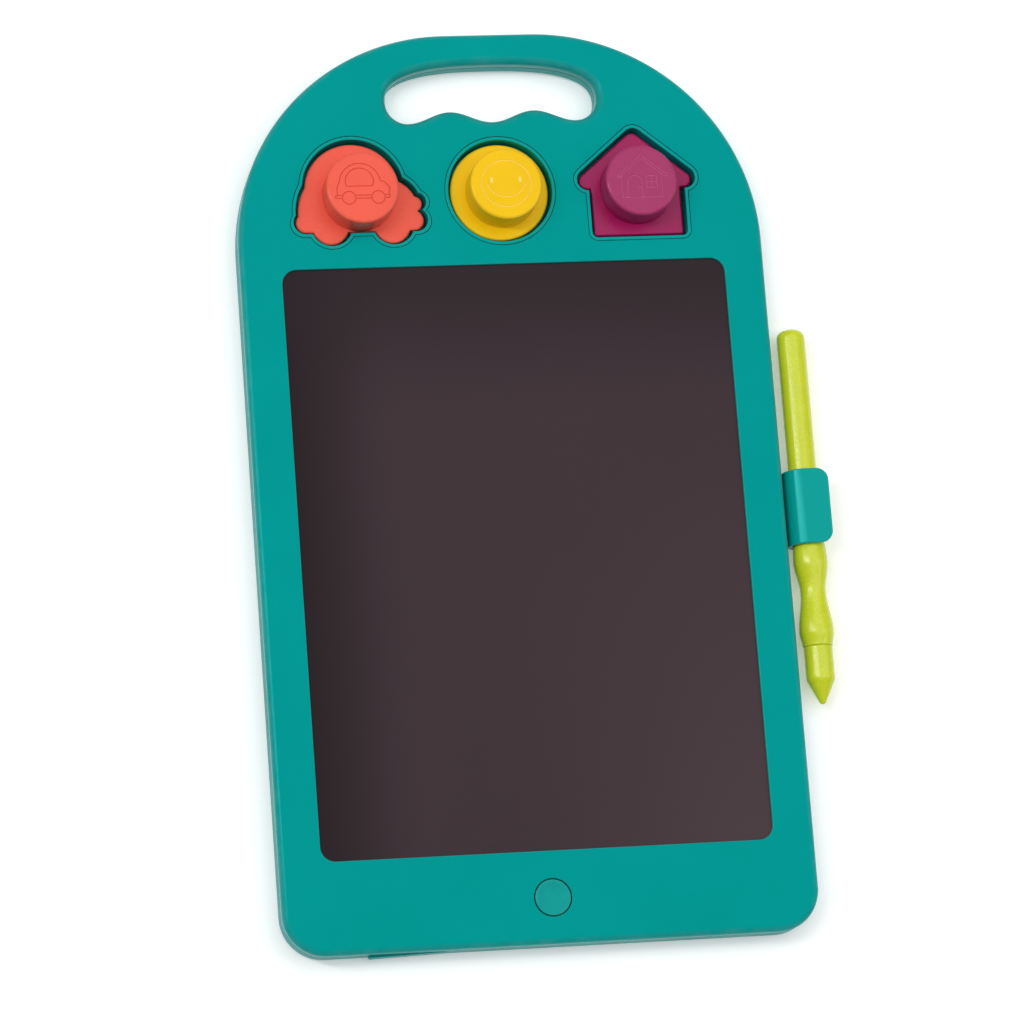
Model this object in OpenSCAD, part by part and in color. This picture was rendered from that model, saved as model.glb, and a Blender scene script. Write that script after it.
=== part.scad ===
// Toddler's writing tablet: LCD board with three loose shape stamps, a side-clip stylus,
// an erase button and a coin-cell drawer. The board lies on its back on z = 0, its screen
// faces +Z, the handle is towards +Y and the stylus is on the +X side. The origin is under
// the middle of the screen window.

/* [Board] */
// Width of the board
board_w = 182.4; // [182.4:0.2:186]
// Length of the board from the bottom edge to the top of the arch
board_l = 316.9; // [316.9:0.1:320]
// Thickness of the board, covers closed
board_t = 11.5; // [11.5:0.1:12.5]
// Radius of the two quarter circles of the arched top
arch_r = 76; // [72:0.5:78]
// Radius of the two bottom corners
corner_r = 14.5; // [13:0.5:15.5]
// Bezel between the window and the bottom edge
bottom_bezel = 31.3; // [31.3:0.1:33]
// Thickness of the cover walls
wall = 2; // [1.8:0.1:2]
// Rounding of the front edge
front_edge_r = 2.2; // [1.6:0.1:2.4]
// Rounding of the back edge
back_edge_r = 1; // [0.6:0.1:1.2]

/* [Screen] */
// Width of the visible window
screen_w = 154; // [150:0.5:154]
// Height of the visible window
screen_h = 203; // [200:0.5:203]
// Corner radius of the window
screen_r = 5; // [3:0.5:8]
// Depth of the writing surface below the face
screen_depth = 1.1; // [0.9:0.1:1.3]

/* [Stamps] */
// Distance between neighbouring stamp centres
stamp_pitch = 48.5; // [48:0.1:49]
// Height of the stamp centres above the middle of the window
stamp_y = 127.6; // [127.4:0.1:128]
// Diameter of the stamp knobs
knob_d = 25.2; // [24:0.1:25.2]
// Height of the knob tops above the face
knob_rise = 8.5; // [7:0.5:12]
// Depth of the stamp plates below the face
plate_depth = 2.5; // [2.2:0.1:2.8]
// Play between a stamp plate and its tray
stamp_play = 1; // [0.8:0.1:1.2]

/* [Handle] */
// Width of the handle slot
slot_w = 74; // [70:0.5:75]
// Height of the slot's middle above the middle of the window
slot_y = 160.5; // [160:0.1:161]

/* [Erase button] */
// Diameter of the button
button_d = 12.1; // [11:0.1:12.4]
// Travel of the button
button_travel = 1; // [0.8:0.1:1]

/* [Stylus] */
// Diameter of the stylus shaft
shaft_d = 9.7; // [9:0.1:9.8]
// Largest diameter of the two grip bulges
grip_d = 11.8; // [11:0.1:11.8]
// Length of the stylus
stylus_l = 131.4; // [125:0.1:140]

/* [Battery] */
// Diameter of the coin cell
cell_d = 20; // [20:0.1:20]
// Thickness of the coin cell
cell_t = 3.2; // [2.5:0.1:3.2]

/* [Hidden] */
$fn = 96;
eps = 0.05;
least_r = 0.1;

// Board outline
half_w = board_w / 2;
bottom_y = -screen_h / 2 - bottom_bezel;
top_y = bottom_y + board_l;
arch_x = half_w - arch_r;
arch_y = top_y - arch_r;
corner_x = half_w - corner_r;
corner_y = bottom_y + corner_r;

// Heights from the back
floor_t = 1.8;
split_z = 7.5;
face_t = 2;
under_face_z = board_t - face_t;
screen_z = board_t - screen_depth;
lip_t = 0.95;
lip_h = 1.2;
lip_gap = 0.15;

// Screen stack
panel_w = screen_w + 6.4;
panel_h = screen_h + 6.4;
panel_gap = 0.3;
film_t = 0.6;
backing_t = 1.2;
backing_z = screen_z - film_t - backing_t;
pad_t = 1.2;
pad_z = backing_z - pad_t;
pad_bar = 6;

// Trays and stamps
rim_w = 1.3;
seam_gap = 0.15;
flange_w = 1.2;
tray_floor_z = 2;
tray_floor_t = 1.2;
round_x = 0.5;
round_seam_r = 19.4;
plate_inset = rim_w + stamp_play;
plate_top_z = board_t - plate_depth;
face_plate_z = 3.75;
face_plate_t = 1.05;
shell_z = face_plate_z + face_plate_t;
line_h = 0.5;
stamp_wall = 1.5;
knob_top_z = board_t + knob_rise;
knob_edge_r = 1.1;
round_knob_shift = 0.7;
engraving_depth = 0.3;
line_w = 0.4;
picture_scale = 1.25;

// Handle slot
slot_half = slot_w / 2;
slot_rise = 12.9;
slot_power = 2.6;
slot_low = 7.6;
wave_x = 29.5;
wave_h = 1.95;
collar_t = 1.8;
collar_split_z = 6;
collar_gap = 0.1;

// Case screws
boss_d = 5.6;
boss_foot_d = 7.2;
boss_split_z = 5.7;
screw_d = 2.5;
screw_bore_d = 2.6;
head_d = 4.4;
head_bore_d = 5;
head_seat_z = 3;
head_t = 1.8;
screw_tip_z = 9;
screw_points = [[78, -120], [84.3, -55], [84.3, 45], [79, 128], [47, 161]];

// Erase button
button_y = bottom_y + 15.5;
button_hole_d = button_d + 0.8;
button_flange_d = 15.4;
button_flange_t = 1;
button_top_z = board_t - 0.05;
dish_r = 22;
dish_depth = 0.5;

// Circuit
pcb_z = 4.4;
pcb_t = 1;
pcb_w = 56;
pcb_h = 15;
pcb_x = -4;
pcb_back = 6;
pcb_top_z = pcb_z + pcb_t;
post_x = 24.5;
switch_w = 6.2;
switch_t = 1.5;
plunger_d = 3.4;
touch_gap = 0.05;
button_foot_z = under_face_z - 0.1 - button_flange_t;
plunger_top_z = button_foot_z - button_travel - touch_gap;

// Battery drawer
lip_l = 25.4;
lip_x = -62.35;
lip_top_z = 6.4;
lip_proud = 0.9;
lip_flush = 0.15;
cup_r = cell_d / 2 + 0.7;
cup_x = lip_x + cup_r + 0.2;
cup_y = bottom_y + 12.6;
drawer_z = 2.2;
drawer_floor_t = 0.8;
cell_z = drawer_z + drawer_floor_t;
cup_top_z = cell_z + cell_t;
drawer_screw_x = cup_x + cup_r + 1.95;
drawer_screw_z = 4.1;
drawer_screw_d = 1.8;
drawer_screw_l = 7;
drawer_screw_seat = 0.9;

// Clip and stylus
pen_x = 99.4;
pen_z = 6.2;
clip_in_r = 5.85;
clip_t = 1.5;
clip_out_r = clip_in_r + clip_t;
clip_low_y = -0.6;
clip_l = 26.1;
flap_l = 7.2;
flap_r = 4.2;
finger_t = 1;
tip_y = -55.6;
tip_l = 20;
step_y = tip_y + tip_l;
cone_l = 8.5;
tip_end_r = 1.3;
low_bulge_y = -30.6;
waist_y = -16.5;
waist_d = 8.75;
high_bulge_y = -6;
shaft_from_y = 7;
tip_d = 9.8;
socket_d = 5;
socket_l = 12;

// Drawing helpers

module rounded_rect(w, h, r) {
  square([w - 2 * r, h], center = true);
  square([w, h - 2 * r], center = true);
  for (sx = [-1, 1], sy = [-1, 1])
    translate([sx * (w / 2 - r), sy * (h / 2 - r)]) circle(r);
}

// A polygon with its edge moved out by r and every corner rounded to r. The bars stop a hair
// inside the discs, so that each disc ends on a clean crossing.
module fat_polygon(points, r) {
  n = len(points);
  bar_r = r - 0.004;
  polygon(points);
  for (i = [0:n - 1]) {
    p = points[i];
    q = points[(i + 1) % n];
    along = q - p;
    span = norm(along);
    translate(p) {
      circle(r);
      rotate(atan2(along.y, along.x)) translate([0, -bar_r]) square([span, 2 * bar_r]);
    }
  }
}

// A straight line of width w between two points
module stroke(p, q, w) {
  along = q - p;
  translate(p) rotate(atan2(along.y, along.x)) translate([-w / 2, -w / 2])
    square([norm(along) + w, w]);
}

module ring(r, w) {
  difference() {
    circle(r + w / 2);
    circle(r - w / 2);
  }
}

// Outlines

module board_outline(inset) {
  translate([-half_w + inset, corner_y])
    square([board_w - 2 * inset, arch_y - corner_y]);
  translate([-corner_x, bottom_y + inset])
    square([2 * corner_x, arch_y - bottom_y - inset]);
  translate([-arch_x, 0]) square([2 * arch_x, top_y - inset]);
  for (side = [-1, 1]) {
    translate([side * arch_x, arch_y]) circle(arch_r - inset);
    translate([side * corner_x, corner_y]) circle(corner_r - inset);
  }
}

// A round bar of radius r laid inside the board outline, for its rounded edges
module edge_bar(r, z) {
  translate([0, 0, z]) {
    for (side = [-1, 1]) {
      translate([side * (half_w - r), corner_y]) rotate([-90, 0, 0])
        cylinder(r = r, h = arch_y - corner_y);
      translate([side * corner_x, corner_y]) rotate(side > 0 ? -90 : 180)
        rotate_extrude(angle = 90) translate([corner_r - r, 0]) circle(r);
      translate([side * arch_x, arch_y]) rotate(side > 0 ? 0 : 90)
        rotate_extrude(angle = 90) translate([arch_r - r, 0]) circle(r);
    }
    translate([-corner_x, bottom_y + r]) rotate([0, 90, 0]) cylinder(r = r, h = 2 * corner_x);
    translate([-arch_x, top_y - r]) rotate([0, 90, 0]) cylinder(r = r, h = 2 * arch_x);
  }
}

function slot_top(g) = [for (a = [0:5:180])
  [(slot_half + g) * sign(cos(a)) * pow(abs(cos(a)), 2 / slot_power),
   (slot_rise + g) * pow(sin(a), 2 / slot_power)]];
function slot_end(g, a0) = [for (a = [a0 + 15:15:a0 + 75])
  [(a0 < 270 ? -wave_x : wave_x) + (slot_half - wave_x + g) * cos(a), (slot_low + g) * sin(a)]];
function slot_wave(g) = [for (t = [-1:0.05:1])
  [wave_x * t, -slot_low + wave_h * (1 - cos(360 * t)) - g]];

// The handle slot: a superellipse above, round ends and a wavy finger grip below
module slot_outline(grow) {
  translate([0, slot_y])
    polygon(concat(slot_top(grow), slot_end(grow, 180), slot_wave(grow), slot_end(grow, 270)));
}

// A disc that is left out once the inset has eaten it
module lobe(x, y, r) {
  if (r > least_r) translate([x, y]) circle(r);
}

module car_shape(grow) {
  sill_y = -14.9;
  bumper_y = -9.95;
  sill_half = 18.6;
  // roof, rear fender and bonnet, down to the bumpers
  intersection() {
    union() {
      lobe(-2, 1.9, 18.9 + grow);
      lobe(-3.5, -6.2, 20.15 + grow);
      lobe(9.6, -4.8, 13.1 + grow);
    }
    translate([-30, bumper_y]) square([60, 60]);
  }
  translate([-sill_half, sill_y - grow]) square([2 * sill_half, bumper_y - sill_y + grow + 1]);
  // bumpers, headlight and wheels
  lobe(-19.6, bumper_y, 4.95 + grow);
  lobe(19.5, bumper_y, 4.95 + grow);
  lobe(20.1, -3.2, 4.1 + grow);
  for (x = [-10.3, 11.1]) lobe(x, -10.75, 8.55 + grow);
}

module house_shape(grow) {
  fat_polygon([[-17, 3.1], [17, 3.1], [0, 17.4]], max(5.1 + grow, least_r));
  translate([0, -6.4]) rounded_rect(36.2 + 2 * grow, 25 + 2 * grow, max(3.2 + grow, 3 * least_r));
}

module stamp_shape(kind, grow) {
  if (kind == "car") car_shape(grow);
  if (kind == "round") circle(round_seam_r + grow);
  if (kind == "house") house_shape(grow);
}

function stamp_x(kind) = kind == "car" ? -stamp_pitch : kind == "house" ? stamp_pitch : round_x;

module at_stamp(kind) {
  translate([stamp_x(kind), stamp_y]) children();
}

// Line pictures, shared by the knob tops and the stamping faces

module car_picture() {
  size = 0.385;
  scale(size) difference() {
    car_shape(0);
    car_shape(-line_w / size);
  }
  intersection() {
    difference() {
      translate([-1, 0.4]) circle(4.9);
      translate([-1, 0.4]) circle(4.9 - line_w);
    }
    translate([-10, 0.4]) square([20, 10]);
  }
  translate([-5.9, 0.4]) square([9.8, line_w]);
  for (x = [-4, 4.3]) translate([x, -4.1]) ring(2.1, line_w);
}

module face_picture() {
  ring(8.4, line_w);
  for (x = [-5, 5]) translate([x, 1.3]) {
    square([1, 1.2], center = true);
    for (s = [-1, 1]) translate([0, s * 0.6]) circle(0.5);
  }
  intersection() {
    translate([0, 2.6]) ring(7, line_w);
    translate([-10, -10]) square([20, 10.5]);
  }
}

module house_picture() {
  for (side = [-1, 1]) {
    stroke([0, 9], [side * 8.8, 2.4], line_w);
    stroke([0, 7.6], [side * 8, 1.6], line_w);
    stroke([side * 8.8, 2.4], [side * 8, 1.6], line_w);
    stroke([side * 7, 2.2], [side * 7, -6], line_w);
  }
  stroke([-7, -6], [7, -6], line_w);
  stroke([-4.9, -6], [-4.9, -0.6], line_w);
  stroke([0.1, -6], [0.1, -0.6], line_w);
  intersection() {
    translate([-2.4, -0.6]) ring(2.5, line_w);
    translate([-6, -0.6]) square([8, 4]);
  }
  translate([-0.9, -2]) circle(0.4);
  for (x = [1.7, 3.55, 5.4]) stroke([x, -2.5], [x, 1.7], line_w);
  for (y = [-2.5, -0.4, 1.7]) stroke([1.7, y], [5.4, y], line_w);
}

module picture(kind) {
  if (kind == "car") car_picture();
  if (kind == "round") face_picture();
  if (kind == "house") house_picture();
}

module at_screws() {
  for (p = screw_points, side = [-1, 1]) translate([side * p.x, p.y]) children();
}

// Covers

module front_shell() {
  difference() {
    union() {
      translate([0, 0, split_z])
        linear_extrude(board_t - front_edge_r - split_z) board_outline(0);
      translate([0, 0, split_z]) linear_extrude(board_t - split_z) board_outline(front_edge_r);
      edge_bar(front_edge_r, board_t - front_edge_r);
    }
    translate([0, 0, split_z - 1])
      linear_extrude(under_face_z - split_z + 1) board_outline(wall);
    translate([0, 0, split_z - 2]) linear_extrude(2) board_outline(-1);
  }
  translate([0, 0, collar_split_z])
    linear_extrude(under_face_z + eps - collar_split_z) slot_outline(collar_t);
  at_screws() translate([0, 0, boss_split_z])
    cylinder(d = boss_d, h = under_face_z + eps - boss_split_z);
}

module front_cover() {
  color([0, 0.6, 0.57]) difference() {
    front_shell();
    translate([0, 0, under_face_z - 1]) linear_extrude(4) rounded_rect(screen_w, screen_h, screen_r);
    translate([0, 0, under_face_z - 1]) linear_extrude(screen_z - under_face_z + 1)
      rounded_rect(panel_w + 2 * panel_gap, panel_h + 2 * panel_gap, 2);
    translate([0, 0, -1]) linear_extrude(board_t + 2) slot_outline(0);
    for (kind = ["car", "round", "house"])
      translate([0, 0, under_face_z - 1]) linear_extrude(4) at_stamp(kind) stamp_shape(kind, 0);
    translate([0, button_y, under_face_z - 1]) cylinder(d = button_hole_d, h = 4);
    at_screws() translate([0, 0, boss_split_z - 1]) cylinder(d = screw_bore_d, h = 4.6);
  }
}

module back_shell() {
  difference() {
    union() {
      translate([0, 0, back_edge_r]) linear_extrude(split_z - back_edge_r) board_outline(0);
      linear_extrude(split_z) board_outline(back_edge_r);
      edge_bar(back_edge_r, back_edge_r);
    }
    translate([0, 0, floor_t]) linear_extrude(board_t) board_outline(wall);
  }
  // locating lip inside the front cover's skirt
  difference() {
    union() {
      translate([0, 0, split_z - 2]) linear_extrude(2) board_outline(wall - eps);
      translate([0, 0, split_z - eps]) linear_extrude(lip_h) board_outline(wall + lip_gap);
    }
    translate([0, 0, split_z - 3]) linear_extrude(6) board_outline(wall + lip_gap + lip_t);
  }
  translate([0, 0, floor_t - eps])
    linear_extrude(collar_split_z - collar_gap - floor_t + eps) slot_outline(collar_t);
  at_screws() cylinder(d = boss_foot_d, h = boss_split_z - 0.1);
  // rib that carries the foam pad
  translate([0, 0, floor_t - eps]) linear_extrude(pad_z - floor_t + eps) difference() {
    square([panel_w - pad_bar, panel_h - pad_bar], center = true);
    square([panel_w - pad_bar - 3, panel_h - pad_bar - 3], center = true);
  }
  // posts of the circuit board
  for (side = [-1, 1]) translate([pcb_x + side * post_x, button_y, floor_t - eps])
    cylinder(d = 5, h = pcb_z - floor_t + eps);
  // block for the drawer's screw
  translate([drawer_screw_x - 1.6, bottom_y + wall - eps, floor_t - eps])
    cube([3.2, 6.5, lip_top_z - floor_t]);
}

module back_cover() {
  color([0, 0.55, 0.53]) difference() {
    back_shell();
    translate([0, 0, -1]) linear_extrude(board_t) slot_outline(0);
    at_screws() {
      translate([0, 0, -1]) cylinder(d = screw_bore_d, h = 8);
      translate([0, 0, -1]) cylinder(d = head_bore_d, h = head_seat_z + 1);
    }
    for (side = [-1, 1]) translate([pcb_x + side * post_x, button_y, floor_t])
      cylinder(d = 1.7, h = 4);
    translate([lip_x - 0.15, bottom_y - 1, floor_t - 0.1]) {
      cube([lip_l + 0.3, wall + 1, lip_top_z - floor_t + 0.25]);
      cube([2 * cup_r + 0.7, wall + 3, lip_top_z - floor_t + 0.25]);
    }
    translate([drawer_screw_x, bottom_y, drawer_screw_z]) rotate([-90, 0, 0])
      cylinder(d = drawer_screw_d + 0.1, h = 12);
    translate([half_w - wall - 0.5, clip_low_y + 4.9, 2.3]) cube([4, clip_l - 9.8, 3.2]);
  }
}

// Trays

module tray(kind) {
  color([0, 0.62, 0.59]) difference() {
    union() {
      translate([0, 0, tray_floor_z]) linear_extrude(board_t - tray_floor_z)
        at_stamp(kind) stamp_shape(kind, -seam_gap);
      translate([0, 0, under_face_z - flange_w]) linear_extrude(flange_w)
        at_stamp(kind) stamp_shape(kind, flange_w);
    }
    translate([0, 0, tray_floor_z + tray_floor_t]) linear_extrude(board_t)
      at_stamp(kind) stamp_shape(kind, -rim_w);
  }
}

module car_tray() {
  tray("car");
}

module round_tray() {
  tray("round");
}

module house_tray() {
  tray("house");
}

// Stamps

module knob(r) {
  cylinder(r = r, h = knob_top_z - plate_top_z - knob_edge_r + 1);
  cylinder(r = r - knob_edge_r, h = knob_top_z - plate_top_z + 1);
  translate([0, 0, knob_top_z - plate_top_z + 1 - knob_edge_r])
    rotate_extrude() translate([r - knob_edge_r, 0]) circle(knob_edge_r, $fn = 48);
}

module stamp_shell(kind) {
  knob_r = knob_d / 2;
  knob_x = kind == "round" ? round_knob_shift : 0;
  difference() {
    union() {
      translate([0, 0, shell_z]) linear_extrude(plate_top_z - shell_z)
        stamp_shape(kind, -plate_inset);
      translate([knob_x, 0, plate_top_z - 1]) knob(knob_r);
    }
    translate([0, 0, shell_z - 1]) linear_extrude(plate_top_z - shell_z + 1 - stamp_wall)
      stamp_shape(kind, -plate_inset - stamp_wall);
    translate([knob_x, 0, 0]) {
      translate([0, 0, shell_z]) cylinder(r = knob_r - 1.9, h = knob_top_z - shell_z - 2);
      translate([0, 0, knob_top_z - engraving_depth]) linear_extrude(1) picture(kind);
    }
  }
}

// The plate that closes a stamp from below, with the raised line picture
module stamp_face(kind) {
  translate([0, 0, face_plate_z]) linear_extrude(face_plate_t) stamp_shape(kind, -plate_inset);
  translate([0, 0, shell_z - eps]) linear_extrude(1.6) difference() {
    stamp_shape(kind, -plate_inset - stamp_wall - 0.08);
    stamp_shape(kind, -plate_inset - stamp_wall - 1.2);
  }
  translate([0, 0, face_plate_z - line_h]) linear_extrude(line_h + eps) {
    scale(picture_scale) mirror([1, 0]) picture(kind);
  }
}

module car_stamp() {
  color([0.92, 0.3, 0.22]) at_stamp("car") stamp_shell("car");
}

module car_stamp_face() {
  color([0.85, 0.25, 0.2]) at_stamp("car") stamp_face("car");
}

module round_stamp() {
  color([0.96, 0.77, 0]) at_stamp("round") stamp_shell("round");
}

module round_stamp_face() {
  color([0.88, 0.7, 0]) at_stamp("round") stamp_face("round");
}

module house_stamp() {
  color([0.62, 0.15, 0.36]) at_stamp("house") stamp_shell("house");
}

module house_stamp_face() {
  color([0.5, 0.08, 0.3]) at_stamp("house") stamp_face("house");
}

// Screen

module lcd_film() {
  color([0.22, 0.18, 0.2]) translate([0, 0, screen_z - film_t]) linear_extrude(film_t)
    rounded_rect(panel_w, panel_h, 2);
}

module lcd_backing_plate() {
  color([0.1, 0.1, 0.1]) translate([0, 0, backing_z]) linear_extrude(backing_t)
    rounded_rect(panel_w, panel_h, 2);
}

module foam_pad() {
  color([0.3, 0.3, 0.3]) translate([0, 0, pad_z]) linear_extrude(pad_t) difference() {
    square([panel_w - 2, panel_h - 2], center = true);
    square([panel_w - 2 - 2 * pad_bar, panel_h - 2 - 2 * pad_bar], center = true);
  }
}

module lcd_ribbon() {
  ribbon_w = 10;
  ribbon_t = 0.25;
  overlap = 2.2;
  edge_y = -panel_h / 2 - ribbon_t;
  end_y = button_y + pcb_back - overlap;
  color([0.8, 0.55, 0.2]) translate([-25, 0, pcb_top_z]) {
    translate([0, edge_y, 0]) cube([ribbon_w, ribbon_t, screen_z - film_t / 2 - pcb_top_z]);
    translate([0, end_y, 0]) cube([ribbon_w, edge_y + ribbon_t - end_y, ribbon_t]);
  }
}

// Circuit

module circuit_board() {
  color([0.1, 0.4, 0.2]) difference() {
    translate([pcb_x - pcb_w / 2, button_y + pcb_back - pcb_h, pcb_z]) cube([pcb_w, pcb_h, pcb_t]);
    for (side = [-1, 1]) translate([pcb_x + side * post_x, button_y, pcb_z - 1])
      cylinder(d = 1.7, h = 3);
  }
}

module controller_chip() {
  color([0.1, 0.1, 0.1]) translate([9, button_y - 4, pcb_top_z]) cube([6, 7, 1.5]);
}

module boost_capacitor() {
  color([0.2, 0.2, 0.5]) translate([-13, button_y - 4, pcb_top_z]) cylinder(d = 4, h = 3.2);
}

module erase_switch() {
  color([0.7, 0.7, 0.7]) translate([0, button_y, pcb_top_z]) {
    translate([-switch_w / 2, -switch_w / 2, 0]) cube([switch_w, switch_w, switch_t]);
    cylinder(d = plunger_d, h = plunger_top_z - pcb_top_z);
  }
}

module button_spring() {
  color([0.9, 0.9, 0.9]) translate([0, button_y, pcb_top_z]) difference() {
    cylinder(d = 13.5, h = button_foot_z - touch_gap - pcb_top_z);
    translate([0, 0, -1]) cylinder(d = 10.5, h = 6);
  }
}

module erase_button() {
  color([0, 0.63, 0.6]) translate([0, button_y, 0]) difference() {
    translate([0, 0, button_foot_z]) {
      cylinder(d = button_flange_d, h = button_flange_t);
      cylinder(d = button_d, h = button_top_z - button_foot_z);
    }
    translate([0, 0, button_top_z + dish_r - dish_depth]) sphere(dish_r);
  }
}

module positive_contact() {
  color([0.8, 0.8, 0.75]) {
    translate([cup_x - 3, cup_y - 2, cup_top_z + 0.25]) cube([34.5, 4, 0.3]);
    translate([cup_x + 31.2, cup_y - 2, pcb_top_z]) cube([0.3, 4, cup_top_z + 0.3 - pcb_top_z]);
  }
}

module negative_contact() {
  leg_x = pcb_x - pcb_w / 2;
  color([0.8, 0.8, 0.75]) {
    translate([cup_x - 3, cup_y + 3, floor_t]) cube([leg_x - cup_x + 3, 4, 0.3]);
    translate([leg_x - 0.3, cup_y + 3, floor_t]) cube([0.3, 4, pcb_top_z - floor_t]);
  }
}

// Battery drawer

module battery_drawer() {
  color([0, 0.55, 0.53]) difference() {
    union() {
      // lip, proud at its left end and nearly flush at the screw
      translate([lip_x, bottom_y, floor_t]) linear_extrude(lip_top_z - floor_t)
        polygon([[0, -lip_proud], [lip_l, -lip_flush], [lip_l, wall - 0.1], [0, wall - 0.1]]);
      translate([cup_x - cup_r, bottom_y + 1, drawer_z])
        cube([2 * cup_r, cup_y - bottom_y - 1, cup_top_z - 0.1 - drawer_z]);
      translate([cup_x, cup_y, drawer_z]) cylinder(r = cup_r, h = cup_top_z - 0.1 - drawer_z);
    }
    translate([cup_x, cup_y, cell_z]) cylinder(d = cell_d + 0.3, h = 5);
    translate([cup_x, cup_y, drawer_z - 1]) cylinder(d = 12, h = 5);
    translate([drawer_screw_x, bottom_y - 3, drawer_screw_z]) rotate([-90, 0, 0])
      cylinder(d = drawer_screw_d + 0.1, h = 8);
    translate([drawer_screw_x, bottom_y - 3, drawer_screw_z]) rotate([-90, 0, 0])
      cylinder(d = 3.5, h = 3 + drawer_screw_seat);
  }
}

module coin_cell() {
  color([0.75, 0.75, 0.75]) translate([cup_x, cup_y, cell_z]) {
    cylinder(d = cell_d - 1, h = cell_t);
    translate([0, 0, 0.4]) cylinder(d = cell_d, h = cell_t - 0.4);
  }
}

// Screws

module screw(d, l, cap_d, cap_t) {
  difference() {
    union() {
      cylinder(d = cap_d, h = cap_t);
      cylinder(d = d, h = cap_t + l);
    }
    for (a = [0, 90]) rotate(a) translate([-cap_d * 0.3, -cap_d * 0.07, -1])
      cube([cap_d * 0.6, cap_d * 0.14, 1 + cap_t * 0.6]);
  }
}

module case_screws() {
  color([0.6, 0.6, 0.62]) at_screws() translate([0, 0, head_seat_z - head_t])
    screw(screw_d, screw_tip_z - head_seat_z, head_d, head_t);
}

module board_screws() {
  color([0.6, 0.6, 0.62]) for (side = [-1, 1])
    translate([pcb_x + side * post_x, button_y, pcb_top_z + 1]) mirror([0, 0, 1])
      screw(1.6, 3.4, 3, 1);
}

module battery_screw() {
  cap_t = 1;
  color([0.6, 0.6, 0.62])
    translate([drawer_screw_x, bottom_y + drawer_screw_seat - cap_t, drawer_screw_z])
      rotate([-90, 0, 0]) screw(drawer_screw_d, drawer_screw_l - cap_t, 3.2, cap_t);
}

// Pen clip

module clip_profile() {
  difference() {
    circle(clip_out_r);
    circle(clip_in_r);
    translate([0, -20]) square([20, 40]);
    polygon([[0, 0], [-15.6, -20], [0, -20]]);
  }
  translate([-eps, clip_in_r]) square([flap_l + eps, clip_t]);
}

module pen_clip() {
  root_z = 2.5;
  root_t = 2.8;
  color([0, 0.63, 0.6]) {
    intersection() {
      translate([pen_x, clip_low_y + clip_l, pen_z]) rotate([90, 0, 0])
        linear_extrude(clip_l) clip_profile();
      translate([pen_x - 10, clip_low_y + clip_l / 2]) linear_extrude(20)
        rounded_rect(2 * (flap_l + 10), clip_l, flap_r);
    }
    // bridge to the board and its head inside the back cover
    translate([half_w - wall - 2, clip_low_y + 5.1, root_z])
      cube([pen_x - clip_out_r + 0.6 - half_w + wall + 2, clip_l - 10.2, root_t]);
    translate([half_w - wall - 2.6, clip_low_y + 3, root_z]) cube([2.4, clip_l - 6, root_t]);
    // finger under the shaft
    translate([pen_x - 5.2, clip_low_y + 6.6, 0.1]) cube([9.4, clip_l - 6.6, finger_t]);
  }
}

// Stylus

// Radius of the stylus at height y, on soft waves between the bulges and the waist
function blend(a, b, t) = a + (b - a) * (1 - cos(180 * t)) / 2;
function grip_r(y) =
  y < low_bulge_y ? blend(grip_d / 2 - 0.75, grip_d / 2, (y - step_y) / (low_bulge_y - step_y)) :
  y < waist_y ? blend(grip_d / 2, waist_d / 2, (y - low_bulge_y) / (waist_y - low_bulge_y)) :
  y < high_bulge_y ? blend(waist_d / 2, grip_d / 2, (y - waist_y) / (high_bulge_y - waist_y)) :
  blend(grip_d / 2, shaft_d / 2, (y - high_bulge_y) / (shaft_from_y - high_bulge_y));

module stylus_profile() {
  end_y = tip_y + stylus_l;
  n = 40;
  grip = [for (i = [0:n]) let (y = step_y + (shaft_from_y - step_y) * i / n) [grip_r(y), y]];
  polygon(concat([[0, step_y]], grip, [[shaft_d / 2, end_y - 1.6], [shaft_d / 2 - 0.5, end_y - 0.5],
    [shaft_d / 2 - 1.6, end_y], [0, end_y]]));
}

module along_stylus() {
  translate([pen_x, 0, pen_z]) rotate([-90, 0, 0]) children();
}

module stylus_body() {
  color([0.8, 0.84, 0.1]) along_stylus() difference() {
    rotate_extrude() stylus_profile();
    translate([0, 0, step_y - 1]) cylinder(d = socket_d, h = socket_l + 1);
  }
}

module stylus_tip() {
  cone_from = tip_y + cone_l;
  color([0.78, 0.82, 0.08]) along_stylus() {
    rotate_extrude() polygon([[0, tip_y], [tip_end_r * 0.7, tip_y + 0.25], [tip_end_r, tip_y + 0.9],
      [tip_d / 2, cone_from], [tip_d / 2, step_y], [socket_d / 2 - 0.05, step_y],
      [socket_d / 2 - 0.05, step_y + socket_l - 1], [0, step_y + socket_l - 1]]);
  }
}

front_cover();
back_cover();
pen_clip();
car_tray();
round_tray();
house_tray();
lcd_film();
lcd_backing_plate();
foam_pad();
lcd_ribbon();
circuit_board();
controller_chip();
boost_capacitor();
erase_switch();
button_spring();
positive_contact();
negative_contact();
board_screws();
case_screws();
erase_button();
car_stamp();
car_stamp_face();
round_stamp();
round_stamp_face();
house_stamp();
house_stamp_face();
stylus_body();
stylus_tip();
battery_drawer();
coin_cell();
battery_screw();
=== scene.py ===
# Toddler's writing tablet: the looks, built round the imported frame.
# Every shape is made in millimetres from the frame's own boxes and turned to metres at the end.
import math

import bmesh
import bpy
import numpy as np
from mathutils import Matrix, Vector
from mathutils.geometry import delaunay_2d_cdt


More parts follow.
